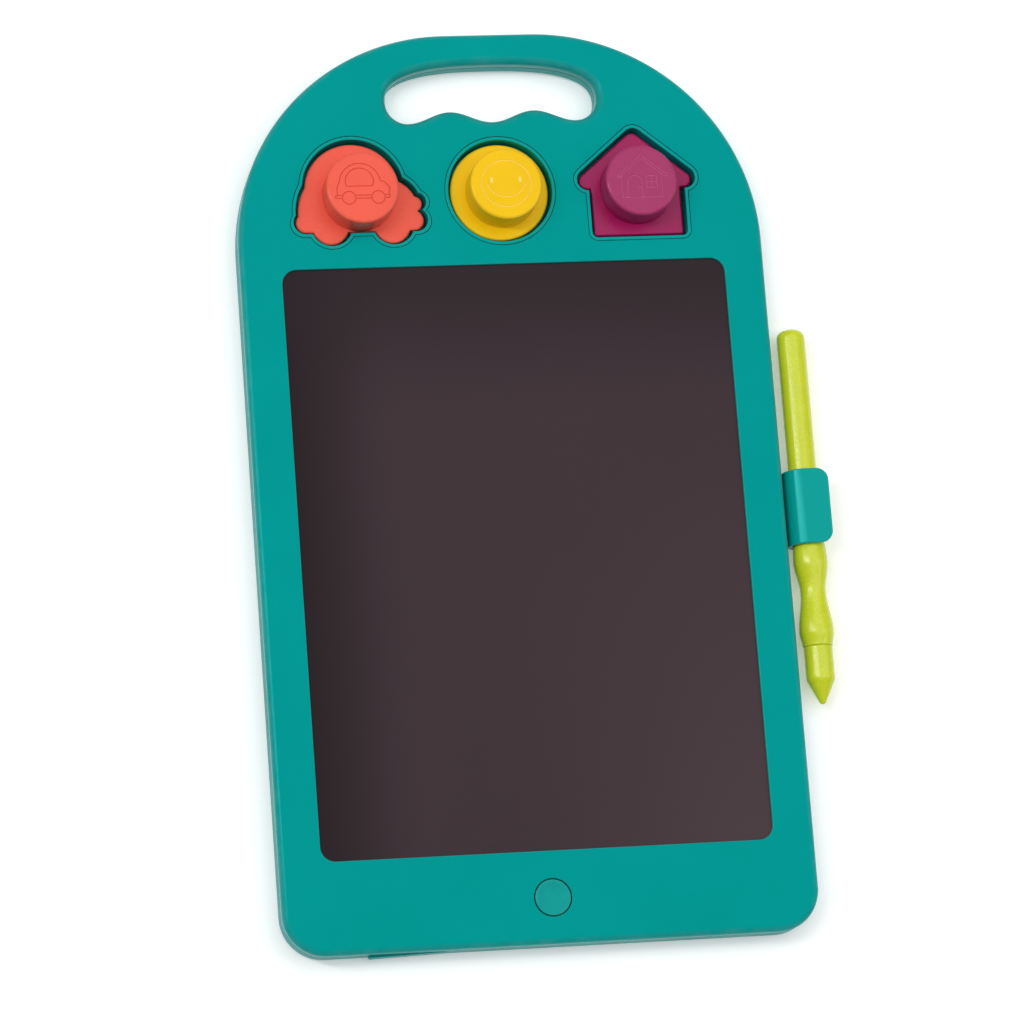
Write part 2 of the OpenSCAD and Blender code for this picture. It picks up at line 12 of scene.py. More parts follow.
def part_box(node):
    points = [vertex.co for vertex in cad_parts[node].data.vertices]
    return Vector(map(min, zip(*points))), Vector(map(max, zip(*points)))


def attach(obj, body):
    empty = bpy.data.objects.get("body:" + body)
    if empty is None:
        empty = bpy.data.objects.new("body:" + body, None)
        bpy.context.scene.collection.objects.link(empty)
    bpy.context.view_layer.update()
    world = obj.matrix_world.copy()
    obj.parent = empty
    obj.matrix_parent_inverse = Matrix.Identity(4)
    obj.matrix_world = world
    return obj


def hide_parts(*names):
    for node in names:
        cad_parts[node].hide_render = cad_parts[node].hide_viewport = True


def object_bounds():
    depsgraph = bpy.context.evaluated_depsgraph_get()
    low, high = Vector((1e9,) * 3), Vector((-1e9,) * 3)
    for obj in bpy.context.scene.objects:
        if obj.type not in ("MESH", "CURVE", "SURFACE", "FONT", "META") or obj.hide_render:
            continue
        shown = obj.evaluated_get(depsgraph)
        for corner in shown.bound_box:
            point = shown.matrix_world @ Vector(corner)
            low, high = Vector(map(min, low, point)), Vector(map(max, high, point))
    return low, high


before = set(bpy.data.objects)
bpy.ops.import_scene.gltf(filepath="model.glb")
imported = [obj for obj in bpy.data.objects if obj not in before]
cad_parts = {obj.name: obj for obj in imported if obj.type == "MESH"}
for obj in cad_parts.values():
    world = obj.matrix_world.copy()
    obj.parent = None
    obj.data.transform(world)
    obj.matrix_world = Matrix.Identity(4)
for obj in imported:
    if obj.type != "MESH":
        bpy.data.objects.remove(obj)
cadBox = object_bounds()
mm = 0.001
print("frame loaded:", len(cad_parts), "nodes")


def boxMm(node):
    low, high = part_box(node)
    return np.array(low) / mm, np.array(high) / mm


backLow, backHigh = boxMm("back_cover")
coverHigh = boxMm("front_cover")[1]
filmLow, filmHigh = boxMm("lcd_film")
halfW, bottomY, topY = backHigh[0], backLow[1], backHigh[1]
faceZ, filmZ = coverHigh[2], filmHigh[2]


# a loop is rows of (x, y), going anticlockwise
def arcPoints(cx, cy, r, fromDeg, toDeg, count):
    a = np.radians(np.linspace(fromDeg, toDeg, count))
    return np.column_stack([cx + r * np.cos(a), cy + r * np.sin(a)])


def circleLoop(cx, cy, r, count=96):
    return arcPoints(cx, cy, r, 0, 360, count + 1)[:-1]


def roundedRect(cx, cy, halfX, halfY, r, count=10):
    corners = [(1, -1, -90), (1, 1, 0), (-1, 1, 90), (-1, -1, 180)]
    return np.vstack([arcPoints(cx + sx * (halfX - r), cy + sy * (halfY - r), r, start, start + 90, count)
                      for sx, sy, start in corners])


def resample(points, count):
    closed = np.vstack([points, points[:1]])
    steps = np.hypot(*np.diff(closed, axis=0).T)
    along = np.concatenate([[0], np.cumsum(steps)])
    at = np.linspace(0, along[-1], count + 1)[:-1]
    return np.column_stack([np.interp(at, along, closed[:, k]) for k in (0, 1)])


def growLoop(points, d):
    run = np.roll(points, -1, axis=0) - np.roll(points, 1, axis=0)
    run /= np.hypot(*run.T)[:, None]
    return points + d * np.column_stack([run[:, 1], -run[:, 0]])


board = {
    "archR": 76.0,        # quarter circles of the top
    "cornerR": 14.5,      # bottom corners
    "frontEdgeR": 2.2,
    "backEdgeR": 1.0,
    "splitZ": 7.5,        # where the covers meet
    "seam": 0.12,         # half the seam's width
    "seamEdge": 0.25,
    "wallT": 2.0,
    "floorT": 1.8,
    "faceT": 2.0,
    "collarSplitZ": 6.0,
}


def boardLoop(grow):
    cx, cy = halfW - board["cornerR"], bottomY + board["cornerR"]
    ax, ay = halfW - board["archR"], topY - board["archR"]
    small, big = board["cornerR"] + grow, board["archR"] + grow
    return np.vstack([
        arcPoints(cx, cy, small, -90, 0, 22),
        arcPoints(ax, ay, big, 0, 90, 72),
        arcPoints(-ax, ay, big, 90, 180, 72),
        arcPoints(-cx, cy, small, 180, 270, 22),
    ])


slot = {
    "y": 160.5,
    "half": 37.0,
    "rise": 12.9,         # superellipse over the fingers
    "power": 2.6,
    "low": 7.6,
    "waveX": 29.5,
    "waveH": 1.95,        # finger waves along the lower side
    "rollR": 3.0,
    "backRollR": 2.0,
    "wallT": 1.8,         # collar round the slot, inside the case
    "seam": 0.06,
    "edge": 0.2,
    "count": 300,
}


def slotBase():
    a = np.radians(np.linspace(0, 180, 500))[:-1]
    c, s = np.cos(a), np.sin(a)
    top = np.column_stack([slot["half"] * np.sign(c) * np.abs(c) ** (2 / slot["power"]),
                           slot["rise"] * s ** (2 / slot["power"])])
    endX = slot["half"] - slot["waveX"]
    left = arcPoints(0, 0, 1, 180, 270, 60)[:-1] * [endX, slot["low"]] - [slot["waveX"], 0]
    t = np.linspace(-1, 1, 400)[:-1]
    wave = np.column_stack([slot["waveX"] * t,
                            -slot["low"] + slot["waveH"] * (1 - np.cos(2 * math.pi * t))])
    right = arcPoints(0, 0, 1, 270, 360, 60)[:-1] * [endX, slot["low"]] + [slot["waveX"], 0]
    return resample(np.vstack([top, left, wave, right]) + [0, slot["y"]], slot["count"])


slotLoop0 = slotBase()


def slotLoop(grow):
    return growLoop(slotLoop0, grow)


# the car's and house's outlines are level lines of a distance field, so every inset has the same lobes
def disc(p, cx, cy, r, mark):
    return np.hypot(p[:, 0] - cx, p[:, 1] - cy) - r, np.full(len(p), mark)


def join(a, b):
    nearer = a[0] < b[0]
    return np.where(nearer, a[0], b[0]), np.where(nearer, a[1], b[1])


car = {
    "roof": (-2.0, 1.9, 18.9),
    "rear": (-3.5, -6.2, 20.15),
    "bonnet": (9.6, -4.8, 13.1),
    "headlight": (20.1, -3.2, 4.1),
    "bumpers": [(-19.6, -9.95, 4.95), (19.5, -9.95, 4.95)],
    "wheels": [(-10.3, -10.75, 8.55), (11.1, -10.75, 8.55)],
    "soft": 0.4,
    "sillY": -14.9,
    "sillHalf": 19.2,
    "bumperY": -9.95,
    "raysFrom": (0, -3),
    "order": [2, 6, 4, 8, 4, 9, 4, 7, 5, 3, 1],     # lobes met going round from the roof
}


def carField(p, grow):
    body = disc(p, *car["roof"], 1)
    body = join(body, disc(p, *car["rear"], 2))
    body = join(body, disc(p, *car["bonnet"], 3))
    body = (np.maximum(body[0], car["bumperY"] - p[:, 1] + grow), body[1])
    sill = np.maximum(np.abs(p[:, 0]) - car["sillHalf"] + grow,
                      np.maximum(car["sillY"] - p[:, 1], p[:, 1] - car["bumperY"] - 1 + grow))
    field = join(body, (sill, np.full(len(p), 4)))
    # small lobes stay fuller than a true inset, so the notches beside them soften
    soft = car["soft"] * min(grow, 0)
    x, y, r = car["headlight"]
    field = join(field, disc(p, x + soft, y, r - soft, 5))
    for k, (x, y, r) in enumerate(car["bumpers"]):
        field = join(field, disc(p, x + soft * np.sign(x), y - soft, r - soft, 6 + k))
    for k, (x, y, r) in enumerate(car["wheels"]):
        field = join(field, disc(p, x, y, r, 8 + k))
    return field


house = {
    "roof": [(-17.0, 3.1), (17.0, 3.1), (0.0, 17.4)],
    "roofR": 5.1,
    "wallY": -6.4,
    "wallHalf": (18.1, 12.5),
    "wallR": 3.2,
    "raysFrom": (0, 2),   # inside both the roof and the walls
    "order": [2, 1],
}

lobes = {
    "near": 2.0,          # where the rays look for the outline
    "far": 45.0,
    "rays": 1441,
    "fine": 240,          # rays to each lobe
    "spacing": 0.55,
}


def houseField(p, grow):
    corners = [np.array(c) for c in house["roof"]]
    away, inside = np.full(len(p), 1e9), np.ones(len(p), bool)
    for a, b in zip(corners, corners[1:] + corners[:1]):
        run = b - a
        t = np.clip((p - a) @ run / (run @ run), 0, 1)
        away = np.minimum(away, np.hypot(*(p - a - t[:, None] * run).T))
        inside &= run[0] * (p[:, 1] - a[1]) - run[1] * (p[:, 0] - a[0]) > 0
    roof = np.where(inside, -away, away) - house["roofR"]
    q = np.abs(p - [0, house["wallY"]]) - (np.array(house["wallHalf"]) - house["wallR"])
    walls = np.hypot(*np.maximum(q, 0).T) + np.minimum(q.max(axis=1), 0) - house["wallR"]
    return join((roof, np.full(len(p), 1)), (walls, np.full(len(p), 2)))


def castRays(field, grow, centre, angles):
    unit = np.column_stack([np.cos(angles), np.sin(angles)])
    low, high = np.full(len(angles), lobes["near"]), np.full(len(angles), lobes["far"])
    for _ in range(36):
        mid = (low + high) / 2
        out = field(centre + mid[:, None] * unit, grow)[0] > grow
        high, low = np.where(out, mid, high), np.where(out, low, mid)
    points = centre + high[:, None] * unit
    return points, field(points, grow)[1]


loopCounts = {}


def lobeLoop(kind, field, shape, grow):
    # the outline grown by grow, with the same number of points on each lobe every time
    centre, order = np.array(shape["raysFrom"], float), shape["order"]
    angles = np.radians(90 + np.linspace(0, 360, lobes["rays"]))
    marks = castRays(field, grow, centre, angles)[1]
    turns = []
    for k in np.nonzero(marks[1:] != marks[:-1])[0]:
        # a sliver of another lobe stays with its neighbour
        if len(turns) < len(order) and marks[k + 1] == order[len(turns)]:
            turns.append(k)
    if len(turns) != len(order):
        raise ValueError(f"{kind} at {grow}: {len(turns)} lobes, not {len(order)}")
    low, high = angles[turns], angles[np.array(turns) + 1]
    for _ in range(24):
        mid = (low + high) / 2
        past = castRays(field, grow, centre, mid)[1] == order
        low, high = np.where(past, low, mid), np.where(past, mid, high)
    cusps = np.append(high, high[0] + 2 * math.pi)
    spread = np.concatenate([np.linspace(a, b, lobes["fine"]) for a, b in zip(cusps, cusps[1:])])
    runs = castRays(field, grow, centre, spread)[0].reshape(len(order), lobes["fine"], 2)
    if kind not in loopCounts:
        lengths = [np.hypot(*np.diff(run, axis=0).T).sum() for run in runs]
        loopCounts[kind] = [max(3, round(length / lobes["spacing"])) for length in lengths]
    rows = []
    for run, count in zip(runs, loopCounts[kind]):
        along = np.concatenate([[0], np.cumsum(np.hypot(*np.diff(run, axis=0).T))])
        at = np.linspace(0, along[-1], count + 1)[:-1]
        rows.append(np.column_stack([np.interp(at, along, run[:, j]) for j in (0, 1)]))
    return np.vstack(rows)


def middle(node):
    low, high = boxMm(node)
    return (low + high) / 2


stamps = {
    "carCentre": (-middle("house_stamp")[0], middle("round_tray")[1]),
    "roundCentre": (middle("round_tray")[0], middle("round_tray")[1]),
    "houseCentre": (middle("house_stamp")[0], middle("round_tray")[1]),
    "roundR": 19.4,
    "roundKnobShift": 0.7,
    "knobR": 12.6,
    "knobEdge": 1.1,
    "knobTaper": 0.12,
    "knobSink": 1.6,      # the knob's own shell starts this far inside the plate
    "filletUp": 0.4,
    "inset": 2.3,         # plate inside the tray's outline
    "plateDrop": 2.5,     # plate's top below the board's face
    "plateEdge": 0.75,
    "footZ": 4.8,
    "footEdge": 0.1,
}
plateZ = faceZ - stamps["plateDrop"]


def stampLoop(kind, grow):
    centre = stamps[kind + "Centre"]
    if kind == "car":
        return lobeLoop("car", carField, car, grow) + centre
    if kind == "house":
        return lobeLoop("house", houseField, house, grow) + centre
    return circleLoop(*centre, stamps["roundR"] + grow, 160)


# a part is growing lists of vertices and faces, with an edge value (worn paling and a painted edge
# highlight) and a groove value to each vertex
def newPart():
    return {"verts": [], "faces": [], "edge": [], "groove": []}


def addLoop(part, points, z, edge=0.0):
    first = len(part["verts"])
    heights = np.broadcast_to(z, len(points))
    part["verts"] += [(x, y, h) for (x, y), h in zip(points, heights)]
    part["edge"] += [edge] * len(points)
    part["groove"] += [0.0] * len(points)
    return list(range(first, first + len(points)))


def addRing(part, points, edge=0.0):
    first = len(part["verts"])
    part["verts"] += [tuple(p) for p in points]
    part["edge"] += [edge] * len(points)
    part["groove"] += [0.0] * len(points)
    return list(range(first, first + len(points)))


def bridge(part, a, b):
    n = len(a)
    part["faces"] += [(a[k], a[(k + 1) % n], b[(k + 1) % n], b[k]) for k in range(n)]


def bridgeAll(part, rings):
    for a, b in zip(rings, rings[1:]):
        bridge(part, a, b)


def stack(part, loopAt, profile):
    # rings of one outline up a profile of (grow, z, edge)
    rings = [addLoop(part, loopAt(grow), z, edge) for grow, z, edge in profile]
    bridgeAll(part, rings)
    return rings


def quarter(g0, z0, g1, z1, steps=6, upFirst=True):
    # a quarter turn from (g0, z0) to (g1, z1); it starts along z when upFirst
    rows = []
    for k in range(steps + 1):
        t = math.radians(90 * k / steps)
        s, c = (1 - math.cos(t), math.sin(t)) if upFirst else (math.sin(t), 1 - math.cos(t))
        rows.append((g0 + (g1 - g0) * s, z0 + (z1 - z0) * c, math.sin(2 * t)))
    return rows


def insideLoop(p, loop):
    a, b = loop, np.roll(loop, -1, axis=0)
    x, y = p[:, None, 0], p[:, None, 1]
    spans = (a[None, :, 1] > y) != (b[None, :, 1] > y)
    rise = np.where(b[:, 1] == a[:, 1], 1e-12, b[:, 1] - a[:, 1])
    cross = (b[:, 0] - a[:, 0])[None] * (y - a[None, :, 1]) / rise[None] + a[None, :, 0]
    return (spans & (x < cross)).sum(axis=1) % 2 == 1


def fillRegion(part, outer, holes=()):
    # a flat face between ring vertices that are already there
    rings = [outer, *holes]
    ids = [i for ring in rings for i in ring]
    flat = np.array([part["verts"][i][:2] for i in ids])
    edges, start = [], 0
    for ring in rings:
        n = len(ring)
        edges += [(start + k, start + (k + 1) % n) for k in range(n)]
        start += n
    made = delaunay_2d_cdt([Vector(p) for p in flat], edges, [], 0, 1e-7)
    source = [o[0] for o in made[3]]
    triangles = np.array(made[2])
    spots = np.array([tuple(v) for v in made[0]])
    centres = spots[triangles].mean(axis=1)
    keep = np.zeros(len(centres), bool)
    start = 0
    for ring in rings:
        keep ^= insideLoop(centres, flat[start:start + len(ring)])
        start += len(ring)
    part["faces"] += [tuple(ids[source[i]] for i in t) for t in triangles[keep]]


def fillEnds(part, rings):
    fillRegion(part, rings[0])
    fillRegion(part, rings[-1])


def cap(part, ring):
    part["faces"].append(tuple(ring))


def capEnds(part, rings):
    cap(part, rings[0])
    cap(part, rings[-1])


def makePiece(name, part, material, body, nodes=(), sharpDeg=38):
    mesh = bpy.data.meshes.new(name)
    mesh.from_pydata((np.array(part["verts"]) * mm).tolist(), [], part["faces"])
    for key in ("edge", "groove"):
        layer = mesh.attributes.new(key, "FLOAT", "POINT")
        layer.data.foreach_set("value", part[key])
    work = bmesh.new()
    work.from_mesh(mesh)
    bmesh.ops.recalc_face_normals(work, faces=work.faces)
    work.to_mesh(mesh)
    work.free()
    return finishPiece(bpy.data.objects.new(name, mesh), material, body, nodes, sharpDeg)


def finishPiece(piece, material, body, nodes, sharpDeg):
    if piece.name not in bpy.context.scene.collection.objects:
        bpy.context.scene.collection.objects.link(piece)
    piece.data.polygons.foreach_set("use_smooth", [True] * len(piece.data.polygons))
    piece.data.set_sharp_from_angle(angle=math.radians(sharpDeg))
    piece.data.materials.clear()
    piece.data.materials.append(material)
    even = piece.modifiers.new("evenNormals", "WEIGHTED_NORMAL")
    even.keep_sharp = True
    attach(piece, body)
    if nodes:
        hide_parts(*nodes)
    return piece


def cutBoxes(piece, boxes):
    # square openings through a wall, cut and applied before the piece is finished
    maker = bmesh.new()
    for low, high in boxes:
        size = (Vector(high) - Vector(low)) * mm
        spot = (Vector(high) + Vector(low)) * mm / 2
        made = bmesh.ops.create_cube(maker, size=1.0)
        bmesh.ops.transform(maker, verts=made["verts"],
                            matrix=Matrix.Translation(spot) @ Matrix.Diagonal((*size, 1)))
    mesh = bpy.data.meshes.new("cutter")
    maker.to_mesh(mesh)
    maker.free()
    cutter = bpy.data.objects.new("cutter", mesh)
    bpy.context.scene.collection.objects.link(cutter)
    cut = piece.modifiers.new("cut", "BOOLEAN")
    cut.operation, cut.object, cut.solver = "DIFFERENCE", cutter, "EXACT"
    bpy.context.view_layer.objects.active = piece
    bpy.ops.object.modifier_move_to_index(modifier="cut", index=0)
    bpy.ops.object.modifier_apply(modifier="cut")
    bpy.data.objects.remove(cutter)


plainPlastic = {
    "drift": 0.04,        # share of tone lost and gained over the surface
    "driftScale": 28,
    "rough": 0.35,
    "smudgeScale": 45,
    "specular": 0.35,
    "sheen": (1.0, 1.0, 1.0),
    "speckMix": 0.5,
    "wearAndHighlight": 0.0,
    "grooveMix": 0.8,
    "metal": 0.0,
    "coat": 0.0,
    "coatRough": 0.1,
    "grain": 0.05,
    "grainScale": 1400,
    "grainDepth": 0.0001,
}


def plastic(name, look):
    # moulded plastic: soft tone drift, paler edges that are partly wear and partly a painted edge highlight,
    # painted shade below a given height, tinted grooves and a fine moulded grain
    material = bpy.data.materials.new(name)
    material.use_nodes = True
    tree = material.node_tree
    shader = tree.nodes["Principled BSDF"]
    link = tree.links.new
    place = tree.nodes.new("ShaderNodeTexCoord").outputs["Object"]

    def noise(scale, detail=3.0, rough=0.55):
        n = tree.nodes.new("ShaderNodeTexNoise")
        n.inputs["Scale"].default_value = scale
        n.inputs["Detail"].default_value = detail
        n.inputs["Roughness"].default_value = rough
        link(place, n.inputs["Vector"])
        return n.outputs["Fac"]

    def ranged(value, low, high, toLow, toHigh):
        n = tree.nodes.new("ShaderNodeMapRange")
        n.inputs["From Min"].default_value = low
        n.inputs["From Max"].default_value = high
        n.inputs["To Min"].default_value = toLow
        n.inputs["To Max"].default_value = toHigh
        link(value, n.inputs["Value"])
        return n.outputs["Result"]

    def mixed(factor, a, b):
        n = tree.nodes.new("ShaderNodeMix")
        n.data_type = "RGBA"
        link(factor, n.inputs["Factor"])
        for value, key in ((a, 6), (b, 7)):
            if isinstance(value, tuple):
                n.inputs[key].default_value = (*value, 1)
            else:
                link(value, n.inputs[key])
        return n.outputs[2]

    def shaded(colour, k):
        return tuple(min(1.0, c * k) for c in colour)

    def attribute(key):
        n = tree.nodes.new("ShaderNodeAttribute")
        n.attribute_name = key
        return n.outputs["Fac"]

    look = {**plainPlastic, **look}
    colour, drift = look["colour"], look["drift"]
    tone = mixed(ranged(noise(look["driftScale"]), 0.3, 0.7, 0, 1),
                 shaded(colour, 1 - drift), shaded(colour, 1 + drift))
    if "speck" in look:
        specks = ranged(noise(look["speckScale"], 1.0, 0.3), 0.5, 0.68, 0, look["speckMix"])
        tone = mixed(specks, tone, look["speck"])
    # paler rounded edges, broken up by noise: partly wear, partly a painted edge highlight
    if look["wearAndHighlight"] > 0:
        rubbedAndLit = tree.nodes.new("ShaderNodeMath")
        rubbedAndLit.operation = "MULTIPLY"
        link(ranged(attribute("edge"), 0.2, 1, 0, look["wearAndHighlight"]), rubbedAndLit.inputs[0])
        link(ranged(noise(160), 0.35, 0.7, 0.2, 1), rubbedAndLit.inputs[1])
        paler = tuple(0.7 * c + 0.3 for c in colour)
        tone = mixed(rubbedAndLit.outputs[0], tone, look.get("wearAndHighlightColour", paler))
    # painted shade: the tone turns darker below highZ, standing in for the shade in a tray's recess
    if "paintedShadeColour" in look:
        parts = tree.nodes.new("ShaderNodeSeparateXYZ")
        link(place, parts.inputs[0])
        height = ranged(parts.outputs["Z"], look["lowZ"], look["highZ"], 0, 1)
        tone = mixed(height, look["paintedShadeColour"], tone)
    if "grooveColour" in look:
        depth = ranged(attribute("groove"), 0, 1, 0, look["grooveMix"])
        tone = mixed(depth, tone, look["grooveColour"])
    link(tone, shader.inputs["Base Color"])
    rough = look["rough"]
    link(ranged(noise(look["smudgeScale"], 4.0), 0.3, 0.7, rough - 0.04, rough + 0.05),
         shader.inputs["Roughness"])
    shader.inputs["Specular IOR Level"].default_value = look["specular"]
    shader.inputs["Specular Tint"].default_value = (*look["sheen"], 1)
    shader.inputs["Metallic"].default_value = look["metal"]
    shader.inputs["Coat Weight"].default_value = look["coat"]
    shader.inputs["Coat Roughness"].default_value = look["coatRough"]
    grain = tree.nodes.new("ShaderNodeBump")
    grain.inputs["Strength"].default_value = look["grain"]
    grain.inputs["Distance"].default_value = look["grainDepth"]
    link(noise(look["grainScale"], 2.0), grain.inputs["Height"])
    link(grain.outputs["Normal"], shader.inputs["Normal"])
    return material


tealSheen = (0.05, 1.0, 0.96)
coverPlastic = plastic("coverPlastic", {
    "colour": (0.0, 0.305, 0.284), "drift": 0.03, "rough": 0.2, "specular": 0.22, "sheen": tealSheen,
    "wearAndHighlight": 0.1})
backPlastic = plastic("backPlastic", {
    "colour": (0.0, 0.285, 0.268), "rough": 0.4, "sheen": tealSheen, "wearAndHighlight": 0.12, "grain": 0.25,
    "grainScale": 1900})
trayPlastic = plastic("trayPlastic", {
    "colour": (0.0, 0.330, 0.302), "drift": 0.03, "rough": 0.2, "sheen": tealSheen, "wearAndHighlight": 0.12})
buttonPlastic = plastic("buttonPlastic", {
    "colour": (0.0, 0.312, 0.286), "drift": 0.06, "driftScale": 300, "rough": 0.3, "specular": 0.4,
    "sheen": (0.2, 1.0, 0.96), "wearAndHighlight": 0.3, "smudgeScale": 500})
clipPlastic = plastic("clipPlastic", {
    "colour": (0.0, 0.325, 0.297), "drift": 0.03, "rough": 0.2, "specular": 0.4,
    "sheen": (0.15, 1.0, 0.97), "wearAndHighlight": 0.15})
redPlastic = plastic("redPlastic", {
    "colour": (0.93, 0.115, 0.072), "driftScale": 60, "rough": 0.26, "sheen": (1.0, 0.6, 0.5),
    "wearAndHighlight": 0.16, "wearAndHighlightColour": (1.0, 0.30, 0.20), "grooveColour": (0.60, 0.10, 0.065), "grooveMix": 0.6})
yellowPlastic = plastic("yellowPlastic", {
    "colour": (0.96, 0.58, 0.004), "drift": 0.03, "driftScale": 60, "rough": 0.26, "sheen": (1.0, 0.8, 0.3),
    "wearAndHighlight": 0.15, "wearAndHighlightColour": (1.0, 0.75, 0.15), "grooveColour": (1.0, 0.80, 0.25), "grooveMix": 0.9})
# the plum plate below the knob is painted darker: painted shade in its recess
plumPlastic = plastic("plumPlastic", {
    "colour": (0.385, 0.028, 0.128), "drift": 0.05, "driftScale": 60, "rough": 0.28,
    "sheen": (1.0, 0.7, 0.85), "wearAndHighlight": 0.2, "wearAndHighlightColour": (0.6, 0.10, 0.24),
    "grooveColour": (0.66, 0.17, 0.32), "grooveMix": 0.9,
    "paintedShadeColour": (0.36, 0.002, 0.092), "lowZ": plateZ * mm + 0.001, "highZ": plateZ * mm + 0.005})
penPlastic = plastic("penPlastic", {
    "colour": (0.60, 0.68, 0.004), "drift": 0.05, "driftScale": 90, "rough": 0.2, "specular": 0.6,
    "sheen": (1.0, 1.0, 0.85), "speck": (0.76, 0.80, 0.12), "speckScale": 2200, "speckMix": 0.45,
    "wearAndHighlight": 0.1, "grain": 0.4, "grainScale": 2200, "grainDepth": 0.00012})
steel = plastic("steel", {
    "colour": (0.58, 0.58, 0.58), "drift": 0.06, "driftScale": 400, "metal": 1.0, "rough": 0.3,
    "specular": 0.5, "grain": 0.1, "grainScale": 5000, "wearAndHighlight": 0.1})
print("materials made")


filmPaintedReflection = {
    # axis, from and to in mm, share at each end, tint; together they paint the film's reflection
    "left": ("X", filmLow[0], filmLow[0] + 42, 1.0, 0.0, (0.016, 0.008, 0.011)),
    "top": ("Y", filmHigh[1] - 60, filmHigh[1], 0.0, 0.8, (0.020, 0.011, 0.015)),
    "lowRight": ("X", filmHigh[0] - 90, filmHigh[0], 0.0, 1.0, (0.066, 0.042, 0.048)),
}
lowRightTop = 40.0        # the lower right painted reflection has faded out at this height


def filmMaterial():
    # hard-coated dark film with a painted reflection of the soft light: darker to the left and the top,
    # paler at the lower right
    material = plastic("filmCoat", {
        "colour": (0.046, 0.027, 0.034), "drift": 0.03, "driftScale": 14, "rough": 0.14, "specular": 0.1,
        "grain": 0.015, "grainScale": 900, "smudgeScale": 18})
    tree = material.node_tree
    link = tree.links.new
    shader = tree.nodes["Principled BSDF"]
    base = shader.inputs["Base Color"].links[0].from_socket
    parts = tree.nodes.new("ShaderNodeSeparateXYZ")
    link(tree.nodes.new("ShaderNodeTexCoord").outputs["Object"], parts.inputs[0])

    def fade(axis, low, high, atLow, atHigh):
        ramp = tree.nodes.new("ShaderNodeMapRange")
        for name, value in (("From Min", low * mm), ("From Max", high * mm),
                            ("To Min", atLow), ("To Max", atHigh)):
            ramp.inputs[name].default_value = value
        link(parts.outputs[axis], ramp.inputs["Value"])
        return ramp

    for key, (axis, low, high, atLow, atHigh, tint) in filmPaintedReflection.items():
        ramp = fade(axis, low, high, atLow, atHigh)
        ramp.interpolation_type = "SMOOTHSTEP"
        amount = ramp.outputs["Result"]
        if key == "lowRight":
            both = tree.nodes.new("ShaderNodeMath")
            both.operation = "MULTIPLY"
            link(amount, both.inputs[0])
            link(fade("Y", filmLow[1], lowRightTop, 1.0, 0.0).outputs["Result"], both.inputs[1])
            amount = both.outputs[0]
        mix = tree.nodes.new("ShaderNodeMix")
        mix.data_type = "RGBA"
        link(amount, mix.inputs["Factor"])
        link(base, mix.inputs[6])
        mix.inputs[7].default_value = (*tint, 1)
        base = mix.outputs[2]
    link(base, shader.inputs["Base Color"])
    return material


filmCoat = filmMaterial()

window = {"lap": 3.2, "cornerR": 5.0, "bevel": 0.45, "filmGap": 0.02, "lapGap": 0.3}
windowHalf = (filmHigh[:2] - filmLow[:2]) / 2 - window["lap"]
windowMid = (filmHigh[:2] + filmLow[:2]) / 2


def windowLoop(grow):
    half = windowHalf + grow
    return roundedRect(*windowMid, *half, window["cornerR"] + grow, 12)


buttonMid = middle("erase_button")
buttonHigh = boxMm("erase_button")[1]
button = {
    "holeR": 6.45,
    "capR": 6.05,
    "edgeR": 0.3,
    "dishR": 5.25,
    "dish": 0.55,
    "dishPower": 1.15,
    "dishRings": 13,
    "flangeR": 7.7,
    "flangeT": 1.0,
}
tray = {
    "rim": 1.3,
    "seam": 0.16,
    "edgeR": 0.3,
    "innerR": 0.35,
    "floorT": 1.2,
    "floorR": 0.6,
    "holeEdge": 0.22,
}


def buttonLoop(r):
    return circleLoop(buttonMid[0], buttonMid[1], r, 72)


def makeFrontCover():
    part = newPart()
    t, edge, seam = board["wallT"], board["frontEdgeR"], board["splitZ"] + board["seam"]
    under = faceZ - board["faceT"]
    outer = stack(part, boardLoop, [
        (-t, under, 0), (-t, seam, 0), (-board["seamEdge"], seam, 0),
        *quarter(-board["seamEdge"], seam, 0, seam + board["seamEdge"], 3, upFirst=False)[1:],
        *quarter(0, faceZ - edge, -edge, faceZ, 12)])
    tops, unders = [], []

    def opening(loopAt, profile):
        rings = stack(part, loopAt, profile)
        tops.append(rings[0])
        unders.append(rings[-1])

    bevel, pocket, overFilm = window["bevel"], window["lap"] + window["lapGap"], filmZ + window["filmGap"]
    opening(windowLoop, [
        *quarter(bevel, faceZ, 0, faceZ - bevel, 5, upFirst=False),
        (0, overFilm, 0), (pocket, overFilm, 0), (pocket, under, 0)])
    roll, splitZ = slot["rollR"], board["collarSplitZ"] + slot["seam"]
    opening(slotLoop, [
        *quarter(roll, faceZ, 0, faceZ - roll, 12, upFirst=False),
        (0, splitZ + slot["edge"], 0), (slot["edge"], splitZ, 0.5),
        (slot["wallT"], splitZ, 0), (slot["wallT"], under, 0)])
    r = tray["holeEdge"]
    for kind in ("car", "round", "house"):
        opening(lambda grow, k=kind: stampLoop(k, grow), [
            *quarter(r, faceZ, 0, faceZ - r, 3, upFirst=False), (0, under, 0)])
    r = button["edgeR"]
    opening(lambda grow: buttonLoop(button["holeR"] + grow), [
        *quarter(r, faceZ, 0, faceZ - r, 4, upFirst=False), (0, under, 0)])
    fillRegion(part, outer[-1], tops)
    fillRegion(part, outer[0], unders)
    makePiece("frontCover", part, coverPlastic, "board", ["front_cover"])


